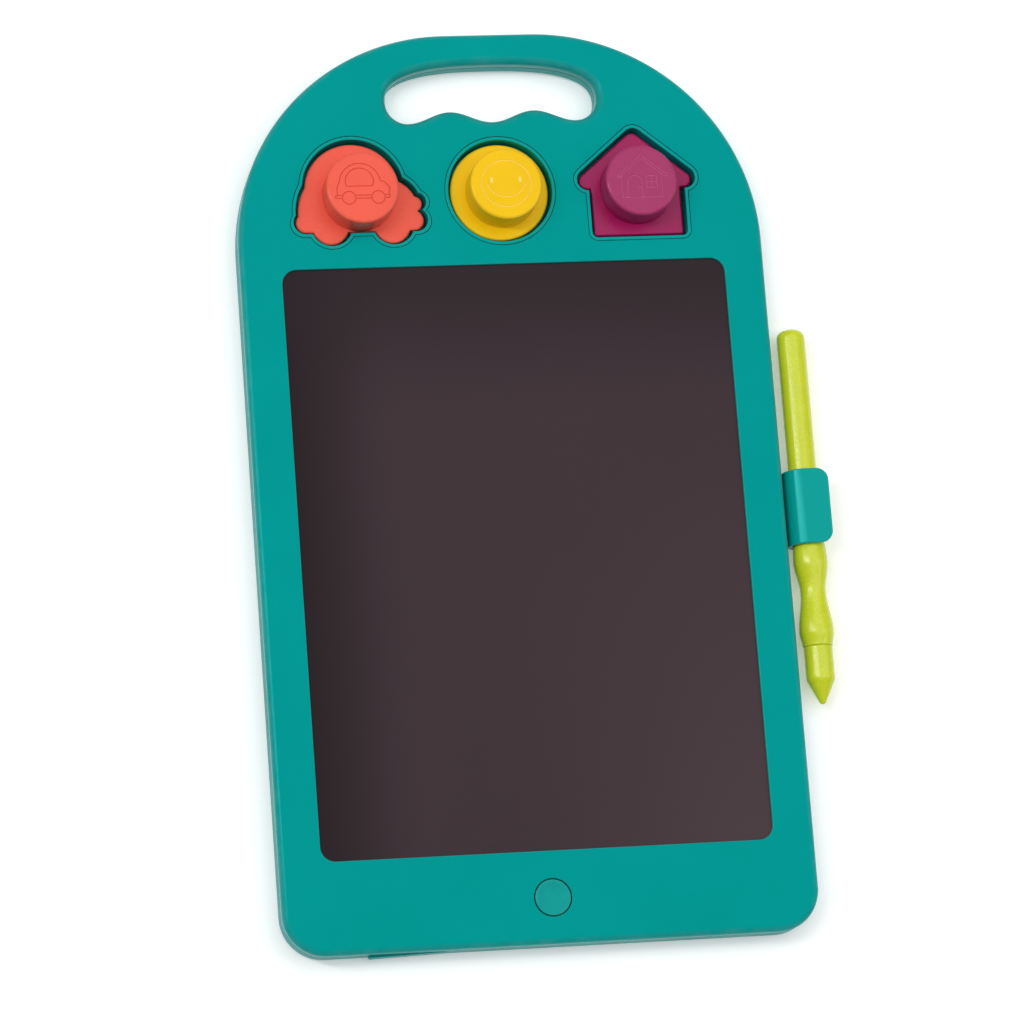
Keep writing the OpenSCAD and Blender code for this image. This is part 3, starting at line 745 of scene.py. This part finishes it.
screws = {
    "places": [(78, -120), (84.3, -55), (84.3, 45), (79, 128), (47, 161)],   # one side; the other mirrors it
    "wellR": 2.5,
    "wellEdge": 0.4,
    "wellTop": 3.0,
    "bossR": 3.6,
    "bossTop": 5.6,
}
lip = {
    "fromX": -62.35,
    "long": 25.4,
    "topZ": 6.4,
    "lowZ": 1.8,
    "proud": 0.9,         # stands out at its left end
    "flush": 0.15,
    "edgeR": 0.35,
    "cornerR": 1.1,
    "deep": 1.9,
}
openings = {
    "gap": 0.15,
    "drawerBelow": 0.1,
    "drawerDeep": 3.0,
    "clipY": (4.95, 21.15),
    "clipZ": (2.3, 5.5),
    "clipDeep": 2.6,
    "proud": 1.0,
}
drawerLow = boxMm("battery_drawer")[0]
clipLow, clipHigh = boxMm("pen_clip")


def makeBackCover():
    part = newPart()
    t, edge, seam = board["wallT"], board["backEdgeR"], board["splitZ"] - board["seam"]
    outer = stack(part, boardLoop, [
        *quarter(-edge, 0, 0, edge, 6, upFirst=False),
        *quarter(0, seam - board["seamEdge"], -board["seamEdge"], seam, 3),
        (-t, seam, 0), (-t, board["floorT"], 0)])
    roll, splitZ = slot["backRollR"], board["collarSplitZ"] - slot["seam"]
    hand = stack(part, slotLoop, [
        *quarter(roll, 0, 0, roll, 8, upFirst=False),
        (0, splitZ - slot["edge"], 0), (slot["edge"], splitZ, 0.5),
        (slot["wallT"], splitZ, 0), (slot["wallT"], board["floorT"], 0)])
    wells, bosses = [], []
    wellR, r = screws["wellR"], screws["wellEdge"]
    for x, y in [(s * x, y) for x, y in screws["places"] for s in (-1, 1)]:
        well = stack(part, lambda grow, x=x, y=y: circleLoop(x, y, grow, 40), [
            *quarter(wellR + r, 0, wellR, r, 3, upFirst=False), (wellR, screws["wellTop"], 0)])
        cap(part, well[-1])
        wells.append(well[0])
        boss = stack(part, lambda grow, x=x, y=y: circleLoop(x, y, grow, 32), [
            (screws["bossR"], board["floorT"], 0), (screws["bossR"], screws["bossTop"], 0)])
        cap(part, boss[-1])
        bosses.append(boss[0])
    fillRegion(part, outer[0], [hand[0], *wells])
    fillRegion(part, outer[-1], [hand[-1], *bosses])
    piece = makePiece("backCover", part, backPlastic, "board", ["back_cover"])
    gap, proud = openings["gap"], openings["proud"]
    drawerHole = ((lip["fromX"] - gap, bottomY - proud, lip["lowZ"] - openings["drawerBelow"]),
                  (lip["fromX"] + lip["long"] + gap, bottomY + openings["drawerDeep"], lip["topZ"] + gap))
    clipFrom, clipTo = openings["clipY"]
    clipUnder, clipOver = openings["clipZ"]
    clipHole = ((halfW - openings["clipDeep"], clipLow[1] + clipFrom, clipUnder),
                (halfW + proud, clipLow[1] + clipTo, clipOver))
    cutBoxes(piece, [drawerHole, clipHole])


def makeTray(kind):
    part = newPart()
    low = boxMm(kind + "_tray")[0][2]
    rim, seam, r, innerR = tray["rim"], tray["seam"], tray["edgeR"], tray["innerR"]
    floorTop, floorR = low + tray["floorT"], tray["floorR"]
    rings = stack(part, lambda grow: stampLoop(kind, grow), [
        (-seam - 0.5, low, 0), (-seam, low + 0.5, 0),
        *quarter(-seam, faceZ - r, -seam - r, faceZ, 4),
        *quarter(-rim + innerR, faceZ, -rim, faceZ - innerR, 4, upFirst=False),
        *quarter(-rim, floorTop + floorR, -rim - floorR, floorTop, 4)])
    fillEnds(part, rings)
    makePiece(kind + "Tray", part, trayPlastic, "board", [kind + "_tray"])


film = {"cornerR": 2.0, "edge": 0.1}


def makeFilm():
    part = newPart()
    low, edge = filmLow[2], film["edge"]

    def loop(grow):
        half = windowHalf + window["lap"] + grow
        return roundedRect(*windowMid, *half, film["cornerR"] + grow, 6)

    rings = stack(part, loop, [
        (-edge, low, 0), (0, low + edge, 0), *quarter(0, filmZ - edge, -edge, filmZ, 2)])
    fillEnds(part, rings)
    makePiece("writingFilm", part, filmCoat, "board", ["lcd_film"])


def makeButton():
    part = newPart()
    low, top = boxMm("erase_button")[0][2], buttonHigh[2]
    capR, dishR, edge = button["capR"], button["dishR"], button["edgeR"]
    rows = [(button["flangeR"], low, 0), (button["flangeR"], low + button["flangeT"], 0),
            (capR, low + button["flangeT"], 0), *quarter(capR, top - edge, capR - edge, top, 5)]
    for k in range(button["dishRings"]):
        r = dishR * (1 - k / button["dishRings"])
        t = r / dishR
        sunk = button["dish"] * (1 - t * t) ** button["dishPower"]
        rows.append((max(r, 0.12), top - sunk, 0.35 if k == 0 else 0))
    rings = stack(part, buttonLoop, rows)
    capEnds(part, rings)
    makePiece("eraseButton", part, buttonPlastic, "button", ["erase_button"])


makeFrontCover()
makeBackCover()
for trayKind in ("car", "round", "house"):
    makeTray(trayKind)
makeFilm()
makeButton()
print("board pieces made")

grooves = {
    "width": 0.38,
    "depth": 0.28,
    "spacing": 0.35,
    "rails": (-1, -0.55, 0, 0.55, 1),    # across half the width
}


def stroke(points, closed=False):
    # one line of a picture, in mm from the knob's middle
    return {"points": np.array(points, float), "closed": closed}


def carLines():
    lines = [stroke(np.vstack([
        [(-8.8, -2.7), (-8.95, -1.2), (-8.75, 0.4), (-8.2, 1.6)],
        arcPoints(-0.9, 1.35, 7.1, 173, 7, 40),
        [(6.6, 2.15), (7.6, 1.7), (8.6, 0.6), (9.2, -0.1), (9.45, -0.6), (9.05, -1.2), (9.0, -2.7)]]))]
    lines.append(stroke(np.vstack([
        arcPoints(-4.9, 1.25, 0.8, 180, 270, 6), arcPoints(2.9, 1.25, 0.8, 270, 360, 6),
        arcPoints(-1.0, 1.9, 4.9, 0, 180, 30)]), True))
    lines += [stroke(circleLoop(x, -3.6, 2.25, 36), True) for x in (-4.9, 5.2)]
    lines += [stroke([(-2.6, y), (2.9, y)]) for y in (-2.8, -3.85)]
    for fromX, turnX, turnTo in ((-7.1, -9.1, 270), (7.5, 8.8, -90)):
        lines.append(stroke(np.vstack([
            [(fromX, -2.8)], arcPoints(turnX, -3.32, 0.52, 90, turnTo, 8), [(fromX, -3.85)]])))
    return lines


def faceLines():
    lines = [stroke(circleLoop(0, 0, 1, 72) * [8.65, 8.2] + [-0.05, 0.1], True)]
    smile = arcPoints(0, 0, 1, 182, 358, 40) * [6.45, 4.75] + [-0.05, 0.2]
    lines.append(stroke(smile))
    for x in (-5.05, 4.9):
        lines.append(stroke([(x, 0.75), (x, 1.9)]))
        lines[-1]["width"] = 1.15
    return lines


def houseLines():
    lines = [stroke([(-8.35, 1.75), (0.25, 8.9), (9.1, 2.0)]),
             stroke([(-7.6, 1.25), (0.25, 7.7), (8.4, 1.35)]),
             stroke([(-8.35, 1.75), (-8.45, 1.3), (-8.1, 1.0), (-7.6, 1.25)]),
             stroke([(9.1, 2.0), (9.15, 1.5), (8.8, 1.2), (8.4, 1.35)]),
             stroke([(-6.9, 1.7), (-6.9, -6.0), (7.1, -6.1), (7.1, 2.1)]),
             stroke(np.vstack([[(-5.0, -6.0)], arcPoints(-2.35, -0.7, 2.5, 180, 0, 20), [(0.1, -6.0)]])),
             stroke(circleLoop(-0.75, -2.25, 0.45, 14), True),
             stroke([(1.8, -2.6), (5.4, -2.6), (5.4, 1.6), (1.8, 1.6)], True),
             stroke([(3.6, -2.6), (3.6, 1.6)]), stroke([(1.8, -0.5), (5.4, -0.5)])]
    return lines


def denser(line):
    points = np.vstack([line["points"], line["points"][:1]]) if line["closed"] else line["points"]
    along = np.concatenate([[0], np.cumsum(np.hypot(*np.diff(points, axis=0).T))])
    at = np.union1d(np.arange(0, along[-1], grooves["spacing"]), along)
    at = at[np.concatenate([[True], np.diff(at) > 0.04])]
    return np.column_stack([np.interp(at, along, points[:, k]) for k in (0, 1)])


def engrave(part, ring, centre, z, lines):
    # the flat top inside a ring, cut along each line: borders, flanks and a floor for every groove
    flat = [np.array(part["verts"][i][:2]) for i in ring]
    n = len(flat)
    edges = [(k, (k + 1) % n) for k in range(n)]
    paths = []
    for line in lines:
        path = denser(line)
        if line["closed"] and np.hypot(*(path[0] - path[-1])) < 0.05:
            path = path[:-1]
        path = path + centre
        half = line.get("width", grooves["width"]) / 2
        core = path
        if not line["closed"]:
            before, after = path[0] - path[1], path[-1] - path[-2]
            path = np.vstack([path[:1] + half * before / np.hypot(*before), path,
                              path[-1:] + half * after / np.hypot(*after)])
            run = np.gradient(path, axis=0)
        else:
            run = np.roll(path, -1, axis=0) - np.roll(path, 1, axis=0)
        run /= np.hypot(*run.T)[:, None]
        side = np.column_stack([run[:, 1], -run[:, 0]])
        paths.append((np.vstack([core, core[:1]]) if line["closed"] else core, half))
        rails = []
        for share in grooves["rails"]:
            first = len(flat)
            flat += list(path + side * half * share)
            rails.append(list(range(first, first + len(path))))
            edges += [(i, i + 1) for i in rails[-1][:-1]]
            if line["closed"]:
                edges.append((rails[-1][-1], rails[-1][0]))
        if not line["closed"]:
            for end in (0, -1):
                edges += [(a[end], b[end]) for a, b in zip(rails, rails[1:])]
    made = delaunay_2d_cdt([Vector(p) for p in flat], edges, [], 0, 1e-5)
    spots = np.array([tuple(v) for v in made[0]])
    depth = np.zeros(len(spots))
    for path, half in paths:
        a, b = path[:-1], path[1:]
        run = b - a
        t = ((spots[:, None] - a) * run).sum(-1) / np.maximum((run * run).sum(-1), 1e-12)
        near = a + np.clip(t, 0, 1)[..., None] * run
        away = np.hypot(*np.moveaxis(spots[:, None] - near, -1, 0)).min(axis=1) / half
        depth = np.maximum(depth, np.clip(1 - away * away, 0, 1))
    depth[depth < 0.02] = 0
    ids = []
    for k, spot in enumerate(spots):
        source = [i for i in made[3][k] if i < n]
        if source:
            ids.append(ring[source[0]])
            continue
        ids.append(len(part["verts"]))
        part["verts"].append((spot[0], spot[1], z - grooves["depth"] * depth[k]))
        part["edge"].append(0.0)
        part["groove"].append(float(depth[k] ** 0.5))
    for triangle in made[2]:
        face = tuple(ids[i] for i in triangle)
        if len(set(face)) == 3:
            part["faces"].append(face)


def makeStamp(kind, material, lines, flare=0.15):
    node = kind + "_stamp"
    top = boxMm(node)[1][2]
    inset, r, foot, footR = stamps["inset"], stamps["plateEdge"], stamps["footZ"], stamps["footEdge"]
    knobR, topR, up = stamps["knobR"], stamps["knobEdge"], stamps["filletUp"]
    wallR = knobR - stamps["knobTaper"]
    centre = np.array(stamps[kind + "Centre"], float)
    if kind == "round":
        centre[0] += stamps["roundKnobShift"]
    part = newPart()
    plate = stack(part, lambda grow: stampLoop(kind, grow), [
        (-inset - footR, foot, 0), (-inset, foot + footR, 0.3),
        *quarter(-inset, plateZ - r, -inset - r, plateZ, 7)])
    fillEnds(part, plate)
    knob = stack(part, lambda radius: circleLoop(*centre, radius, 128), [
        (knobR - 0.5, plateZ - stamps["knobSink"], 0), (knobR + flare, plateZ - 0.04, 0),
        *quarter(knobR + flare, plateZ, knobR, plateZ + up, 4, upFirst=False),
        *quarter(wallR, top - topR, wallR - topR, top, 9)])
    cap(part, knob[0])
    engrave(part, knob[-1], centre, top, lines)
    makePiece(kind + "Stamp", part, material, kind, [node], sharpDeg=50)


makeStamp("car", redPlastic, carLines(), flare=0.02)
makeStamp("round", yellowPlastic, faceLines())
makeStamp("house", plumPlastic, houseLines())
print("stamps made")

penLow, penHigh = boxMm("stylus_body")
tipLow = boxMm("stylus_tip")[0]
penX, penZ = (penLow[0] + penHigh[0]) / 2, (penLow[2] + penHigh[2]) / 2
strap = {
    "innerR": 5.85,
    "thick": 1.5,
    "flapR": 4.2,         # corners of the free flap
    "edgeR": 0.45,
    "foldDeg": 232,
    "endR": 0.6,
    "endShare": 0.35,     # thickness left at the flap's very end
    "rootZ": 2.5,
    "rootT": 2.8,
    "rootInset": 5.1,
    "rootDeep": 4.6,
    "fingerX": (-5.2, 4.2),
    "fingerInset": 6.6,
    "fingerT": 1.0,
    "blockR": 0.3,
}


def strapSection(y0, y1, half, r):
    # a rounded slab section in (y, w), w across the strap's thickness
    r = min(r, half * 0.98, (y1 - y0) / 2)
    return roundedRect((y0 + y1) / 2, 0, (y1 - y0) / 2, half, r, 5)


def makeClip():
    part = newPart()
    midR, half = strap["innerR"] + strap["thick"] / 2, strap["thick"] / 2
    flap = clipHigh[0] - penX
    arcLength = midR * math.radians(strap["foldDeg"] - 90)
    total = flap + arcLength
    low, high = clipLow[1], clipHigh[1]
    cornerR, endR = strap["flapR"], strap["endR"]
    at = np.unique(np.concatenate([
        endR * (1 - np.cos(np.radians(np.linspace(0, 90, 7)))), np.linspace(endR, cornerR, 12),
        np.linspace(cornerR, flap, 6), np.linspace(flap, total, 40)]))
    rings = []
    for s in at:
        inset = cornerR - math.sqrt(max(0, cornerR ** 2 - (cornerR - s) ** 2)) if s < cornerR else 0
        thick = half
        if s < endR:
            rise = math.sqrt(max(0, 1 - (1 - s / endR) ** 2))
            thick = half * (strap["endShare"] + (1 - strap["endShare"]) * rise)
        section = strapSection(low + inset, high - inset, thick, strap["edgeR"])
        if s <= flap:
            spot, out = np.array([penX + flap - s, penZ + midR]), np.array([0, 1])
        else:
            a = math.pi / 2 + (s - flap) / midR
            out = np.array([math.cos(a), math.sin(a)])
            spot = np.array([penX, penZ]) + midR * out
        edge = 0.8 if s < endR else 0.0
        ring = [(spot[0] + w * out[0], y, spot[1] + w * out[1]) for y, w in section]
        rings.append(addRing(part, ring, edge))
        for k, (y, w) in zip(rings[-1], section):
            if abs(w) < thick * 0.98:
                part["edge"][k] = 0.8
    bridgeAll(part, rings)
    capEnds(part, rings)
    # bridge into the board and the thin finger under the shaft
    rootZ, inset, r = strap["rootZ"], strap["rootInset"], strap["blockR"]
    slab(part, (halfW - strap["rootDeep"], low + inset, rootZ),
         (penX - midR + 0.2, high - inset, rootZ + strap["rootT"]), r)
    fingerFrom, fingerTo = strap["fingerX"]
    slab(part, (penX + fingerFrom, low + strap["fingerInset"], clipLow[2]),
         (penX + fingerTo, high, clipLow[2] + strap["fingerT"]), r)
    makePiece("penClip", part, clipPlastic, "board", ["pen_clip"])


def slab(part, low, high, r):
    # a small block with rounded upright corners and broken edges
    cx, cy = (low[0] + high[0]) / 2, (low[1] + high[1]) / 2
    hx, hy = (high[0] - low[0]) / 2, (high[1] - low[1]) / 2

    def loop(grow):
        return roundedRect(cx, cy, hx + grow, hy + grow, r * 1.6 + grow, 5)

    rings = stack(part, loop, [*quarter(-r, low[2], 0, low[2] + r, 4, upFirst=False),
                               *quarter(0, high[2] - r, -r, high[2], 4)])
    capEnds(part, rings)


grip = {
    "bulgeY": (-30.6, -6.0),
    "waistY": -16.5,
    "bulgeR": 5.9,
    "waistR": 4.375,
    "shaftR": 4.85,
    "stepR": 5.15,
    "stepEdge": 0.35,
    "shaftFromY": 7.0,
    "endR": 2.9,
}
nose = {
    "bodyR": 4.9,
    "long": 8.5,          # the cone
    "endR": 1.3,
    "edge": 0.25,
    "spigotR": 2.4,       # runs on inside the body
    "spigot": 10.0,
}


def blend(a, b, t):
    return a + (b - a) * (1 - math.cos(math.pi * min(max(t, 0), 1))) / 2


def gripR(y, stepY):
    lowBulge, highBulge = grip["bulgeY"]
    if y < lowBulge:
        return blend(grip["stepR"], grip["bulgeR"], (y - stepY) / (lowBulge - stepY))
    if y < grip["waistY"]:
        return blend(grip["bulgeR"], grip["waistR"], (y - lowBulge) / (grip["waistY"] - lowBulge))
    if y < highBulge:
        return blend(grip["waistR"], grip["bulgeR"], (y - grip["waistY"]) / (highBulge - grip["waistY"]))
    return blend(grip["bulgeR"], grip["shaftR"], (y - highBulge) / (grip["shaftFromY"] - highBulge))


def turned(part, rows, sides=72):
    # a solid turned about the stylus axis from rows of (radius, y, edge)
    rings = []
    for r, y, edge in rows:
        a = np.linspace(0, 2 * math.pi, sides + 1)[:-1]
        rings.append(addRing(part, [(penX + r * math.cos(t), y, penZ + r * math.sin(t)) for t in a], edge))
    bridgeAll(part, rings)
    capEnds(part, rings)


def makeStylus():
    stepY, endY, r, shaftR = penLow[1], penHigh[1], grip["endR"], grip["shaftR"]
    edge = grip["stepEdge"]
    footR = grip["stepR"] - edge
    rows = [(footR - 0.4, stepY, 0)]
    rows += [(footR + edge * s, stepY + edge * c, e) for s, c, e in quarter(0, 0, 1, 1, 4, upFirst=False)]
    rows += [(gripR(y, stepY), y, 0) for y in np.linspace(stepY + 0.5, grip["shaftFromY"], 90)]
    rows.append((shaftR, endY - 20, 0))
    rows += [(shaftR - r * s, endY - r + r * c, e * 0.5) for s, c, e in quarter(0, 0, 1, 1, 8)]
    rows += [(shaftR - r - 1.5, endY, 0), (0.3, endY, 0)]
    part = newPart()
    turned(part, rows)
    makePiece("stylusBody", part, penPlastic, "stylus", ["stylus_body"])


def makeNose():
    # a short collar and a cone with a blunt rounded tip
    low, stepY = tipLow[1], penLow[1]
    bodyR, endR, edge, spigotR = nose["bodyR"], nose["endR"], nose["edge"], nose["spigotR"]
    coneFrom = low + nose["long"]
    slope = math.degrees(math.atan2(bodyR - endR, nose["long"] - endR * 0.8))
    rows = [(0.12, low, 0)]
    for t in np.radians(np.linspace(10, 90 - slope, 7)):
        rows.append((endR * math.sin(t), low + endR * (1 - math.cos(t)), 0.3))
    fromR, fromY = rows[-1][:2]
    for t in np.linspace(0.08, 1, 12):
        rows.append((fromR + (bodyR - 0.1 - fromR) * t, fromY + (coneFrom - edge - fromY) * t, 0))
    rows += [(bodyR, coneFrom + 0.35, 0.5), (bodyR, coneFrom + 1.2, 0), (bodyR, stepY - 0.5, 0),
             (bodyR - 0.05, stepY - 0.2, 0.3), (bodyR - 0.2, stepY - 0.05, 0.3),
             (spigotR, stepY - 0.05, 0), (spigotR, stepY + nose["spigot"], 0)]
    part = newPart()
    turned(part, rows)
    makePiece("stylusTip", part, penPlastic, "stylus", ["stylus_tip"])


makeClip()
makeStylus()
makeNose()
print("clip and stylus made")

cell = {
    "r": 10.0,
    "baseR": 8.5,         # the smaller pole below
    "baseEdge": 0.3,
    "sealR": 9.1,
    "canEdge": 0.4,
    "topEdge": 0.35,
    "ringWide": 1.4,      # raised ring round the upper face
    "ringDeep": 0.08,
}
cup = {
    "wall": 0.7,
    "edge": 0.3,
    "topEdge": 0.25,
    "overFloor": 0.4,
    "underCell": 0.1,
    "cellGap": 0.15,
    "floorT": 0.8,
    "holeR": 6.0,
    "fromY": 1.0,
}
cellLow, cellHigh = boxMm("coin_cell")
cellX, cellY = (cellLow[:2] + cellHigh[:2]) / 2


def makeDrawer():
    part = newPart()
    cupR, r = cell["r"] + cup["wall"], lip["edgeR"]
    # lip: front face proud on the left and nearly flush on the right
    x0, x1 = lip["fromX"], lip["fromX"] + lip["long"]

    def face(grow):
        return roundedRect((x0 + x1) / 2, (lip["topZ"] + lip["lowZ"]) / 2, (x1 - x0) / 2 + grow,
                           (lip["topZ"] - lip["lowZ"]) / 2 + grow, lip["cornerR"] + grow, 8)

    def lipRing(grow, depth, edge):
        ring = []
        for x, z in face(grow):
            share = (x - x0) / (x1 - x0)
            front = bottomY - lip["proud"] * (1 - share) - lip["flush"] * share
            ring.append((x, front + depth, z))
        return addRing(part, ring, edge)

    rings = []
    for t in np.radians(np.linspace(0, 90, 6)):
        rings.append(lipRing(-r + r * math.sin(t), r - r * math.cos(t), math.sin(2 * t)))
    rings.append(addRing(part, [(x, bottomY + lip["deep"], z) for x, z in face(0)]))
    bridgeAll(part, rings)
    capEnds(part, rings)

    # cup: straight at the lip, round at the far end, with the cell's well
    def cupLoop(grow):
        half = cupR + grow
        front = [(cellX - half, bottomY + cup["fromY"]), (cellX + half, bottomY + cup["fromY"])]
        return np.vstack([arcPoints(cellX, cellY, half, 0, 180, 48), front])

    low, top = drawerLow[2] + cup["overFloor"], cellHigh[2] - cup["underCell"]
    edge, topEdge = cup["edge"], cup["topEdge"]
    rings = stack(part, cupLoop, [
        (-edge, low, 0), (0, low + edge, 0.5), *quarter(0, top - topEdge, -topEdge, top, 3)])
    wellR, shelf = cell["r"] + cup["cellGap"], low + cup["floorT"]
    well = stack(part, lambda radius: circleLoop(cellX, cellY, radius, 72), [
        (wellR + 0.1, top, 0), (wellR, top - 0.2, 0.4), (wellR, shelf, 0),
        (cup["holeR"], shelf, 0), (cup["holeR"], low, 0)])
    fillRegion(part, rings[-1], [well[0]])
    fillRegion(part, rings[0], [well[-1]])
    makePiece("batteryDrawer", part, backPlastic, "drawer", ["battery_drawer"])


def makeCell():
    part = newPart()
    low, top, r = cellLow[2], cellHigh[2], cell["r"]
    baseR, baseEdge, sealR = cell["baseR"], cell["baseEdge"], cell["sealR"]
    canEdge, topEdge = cell["canEdge"], cell["topEdge"]
    ringR, ringDeep = r - cell["ringWide"], cell["ringDeep"]
    rings = stack(part, lambda radius: circleLoop(cellX, cellY, radius, 84), [
        *quarter(baseR - 0.5, low, baseR, low + baseEdge, 3, upFirst=False),
        (sealR, low + 0.35, 0), (sealR, low + 0.45, 0),
        *quarter(r - canEdge, low + 0.4, r, low + 0.4 + canEdge, 4, upFirst=False),
        *quarter(r, top - topEdge, r - topEdge, top, 4),
        (ringR, top, 0.4), (ringR - 0.2, top - ringDeep, 0), (2.0, top - ringDeep, 0)])
    capEnds(part, rings)
    makePiece("coinCell", part, steel, "drawer", ["coin_cell"])


makeDrawer()
makeCell()
print("drawer made")

# the inner pieces keep their CAD shape and only get a finish
faceColours = {
    "faceRed": (0.70, 0.06, 0.04),
    "faceYellow": (0.85, 0.48, 0.004),
    "facePlum": (0.28, 0.015, 0.09),
}
faces = {name: plastic(name, {"colour": colour, "drift": 0.05, "driftScale": 80, "rough": 0.4, "grain": 0.1})
         for name, colour in faceColours.items()}
blackSheet = plastic("blackSheet", {
    "colour": (0.02, 0.02, 0.02), "drift": 0.2, "rough": 0.6, "grain": 0.2})
foamMaterial = plastic("foamSheet", {
    "colour": (0.09, 0.09, 0.09), "drift": 0.3, "driftScale": 900, "rough": 0.9, "specular": 0.1,
    "grain": 0.8, "grainScale": 2200, "grainDepth": 0.0003})
ribbonFilm = plastic("ribbonFilm", {
    "colour": (0.5, 0.2, 0.03), "drift": 0.08, "driftScale": 300, "rough": 0.2, "coat": 0.4})
solderMask = plastic("solderMask", {
    "colour": (0.01, 0.13, 0.045), "drift": 0.2, "driftScale": 420, "rough": 0.25,
    "speck": (0.45, 0.40, 0.16), "speckScale": 700, "speckMix": 0.6, "coat": 0.3})
chipEpoxy = plastic("chipEpoxy", {
    "colour": (0.018, 0.018, 0.02), "drift": 0.2, "driftScale": 900, "rough": 0.5, "grain": 0.4,
    "grainScale": 5000})
sleeve = plastic("capacitorSleeve", {
    "colour": (0.02, 0.02, 0.11), "drift": 0.1, "driftScale": 500, "rough": 0.25})
silicone = plastic("silicone", {
    "colour": (0.66, 0.66, 0.63), "drift": 0.06, "driftScale": 300, "rough": 0.55, "grain": 0.2})
nickel = plastic("nickelStrip", {
    "colour": (0.62, 0.59, 0.53), "drift": 0.08, "driftScale": 600, "metal": 1.0, "rough": 0.26,
    "grain": 0.12, "grainScale": 3500})
zinc = plastic("zincScrew", {
    "colour": (0.52, 0.52, 0.54), "drift": 0.12, "driftScale": 900, "metal": 1.0, "rough": 0.32,
    "grain": 0.15, "grainScale": 4200})

keptNodes = {
    "car_stamp_face": faces["faceRed"],
    "round_stamp_face": faces["faceYellow"],
    "house_stamp_face": faces["facePlum"],
    "lcd_backing_plate": blackSheet, "foam_pad": foamMaterial, "lcd_ribbon": ribbonFilm,
    "circuit_board": solderMask, "controller_chip": chipEpoxy, "erase_switch": chipEpoxy,
    "boost_capacitor": sleeve, "button_spring": silicone, "positive_contact": nickel,
    "negative_contact": nickel, "board_screws": zinc, "case_screws": zinc, "battery_screw": zinc,
}
for nodeName, nodeMaterial in keptNodes.items():
    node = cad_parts[nodeName]
    for k in range(len(node.material_slots)):
        node.material_slots[k].link = "OBJECT"
        node.material_slots[k].material = nodeMaterial
print("kept nodes dressed:", len(keptNodes))

stageLook = {
    "floorTone": 0.96,
    "floorGlow": 0.22,
    "floorSize": 12.0,
    "floorDrop": 0.0003,  # keeps the floor clear of the board's flat back
    "world": (0.92, 0.94, 0.96),
    "worldStrength": 0.30,
    # name, place round the board in metres, size across and along, power
    "lamps": [
        ("leftStrip", (-1.17, 0.30, 1.48), (0.26, 1.4), 11.0),
        ("overhead", (0.15, 0.35, 1.85), (2.2, 2.2), 19.8),
        ("rightFill", (1.45, -0.1, 1.25), (0.9, 1.2), 5.0),
    ],
}


def makeStage():
    size = stageLook["floorSize"]
    maker = bmesh.new()
    bmesh.ops.create_grid(maker, x_segments=8, y_segments=8, size=size / 2)
    mesh = bpy.data.meshes.new("floor")
    maker.to_mesh(mesh)
    maker.free()
    floor = bpy.data.objects.new("floor", mesh)
    floor.location.z = -stageLook["floorDrop"]
    bpy.context.scene.collection.objects.link(floor)
    paper = plastic("paperFloor", {"colour": (stageLook["floorTone"],) * 3, "drift": 0.004, "driftScale": 2,
                                   "rough": 0.9, "specular": 0.0, "grain": 0.0})
    paperShader = paper.node_tree.nodes["Principled BSDF"]
    paperShader.inputs["Emission Color"].default_value = (1, 1, 1, 1)
    paperShader.inputs["Emission Strength"].default_value = stageLook["floorGlow"]
    mesh.materials.append(paper)
    world = bpy.data.worlds.new("studio")
    world.use_nodes = True
    back = world.node_tree.nodes["Background"]
    back.inputs["Color"].default_value = (*stageLook["world"], 1)
    back.inputs["Strength"].default_value = stageLook["worldStrength"]
    bpy.context.scene.world = world
    aim = (Vector(cadBox[0]) + Vector(cadBox[1])) / 2
    for name, place, size, power in stageLook["lamps"]:
        lamp = bpy.data.lights.new(name, "AREA")
        lamp.shape, lamp.energy = "RECTANGLE", power
        lamp.size, lamp.size_y = size
        holder = bpy.data.objects.new(name, lamp)
        holder.location = aim + Vector(place)
        holder.rotation_euler = (aim - holder.location).to_track_quat("-Z", "Y").to_euler()
        bpy.context.scene.collection.objects.link(holder)
    bpy.context.scene.view_settings.view_transform = "Standard"


view = {
    "azimuth": -41.168,
    "elevation": 74.344,
    "roll": 37.873,
    "away": 1.6143,
    "lens": 167.31,
    "sensor": 36.0,
    "aimX": -0.0038,      # the aim on the screen's surface, from the window's middle
    "aimY": 0.0147,
}


def makeCamera():
    lens = bpy.data.cameras.new("viewCamera")
    lens.lens, lens.sensor_width, lens.sensor_fit = view["lens"], view["sensor"], "AUTO"
    lens.clip_start, lens.clip_end = 0.05, 60
    camera = bpy.data.objects.new("viewCamera", lens)
    a, e = math.radians(view["azimuth"]), math.radians(view["elevation"])
    back = Vector((math.sin(a) * math.cos(e), -math.cos(a) * math.cos(e), math.sin(e)))
    target = Vector((windowMid[0] * mm + view["aimX"], windowMid[1] * mm + view["aimY"], filmZ * mm))
    roll = Matrix.Rotation(math.radians(view["roll"]), 3, "Z")
    turn = (-back).to_track_quat("-Z", "Y").to_matrix() @ roll
    camera.matrix_world = Matrix.Translation(target + back * view["away"]) @ turn.to_4x4()
    bpy.context.scene.collection.objects.link(camera)
    bpy.context.scene.camera = camera


makeStage()
makeCamera()
print("stage, light and camera set")

bpy.context.view_layer.update()
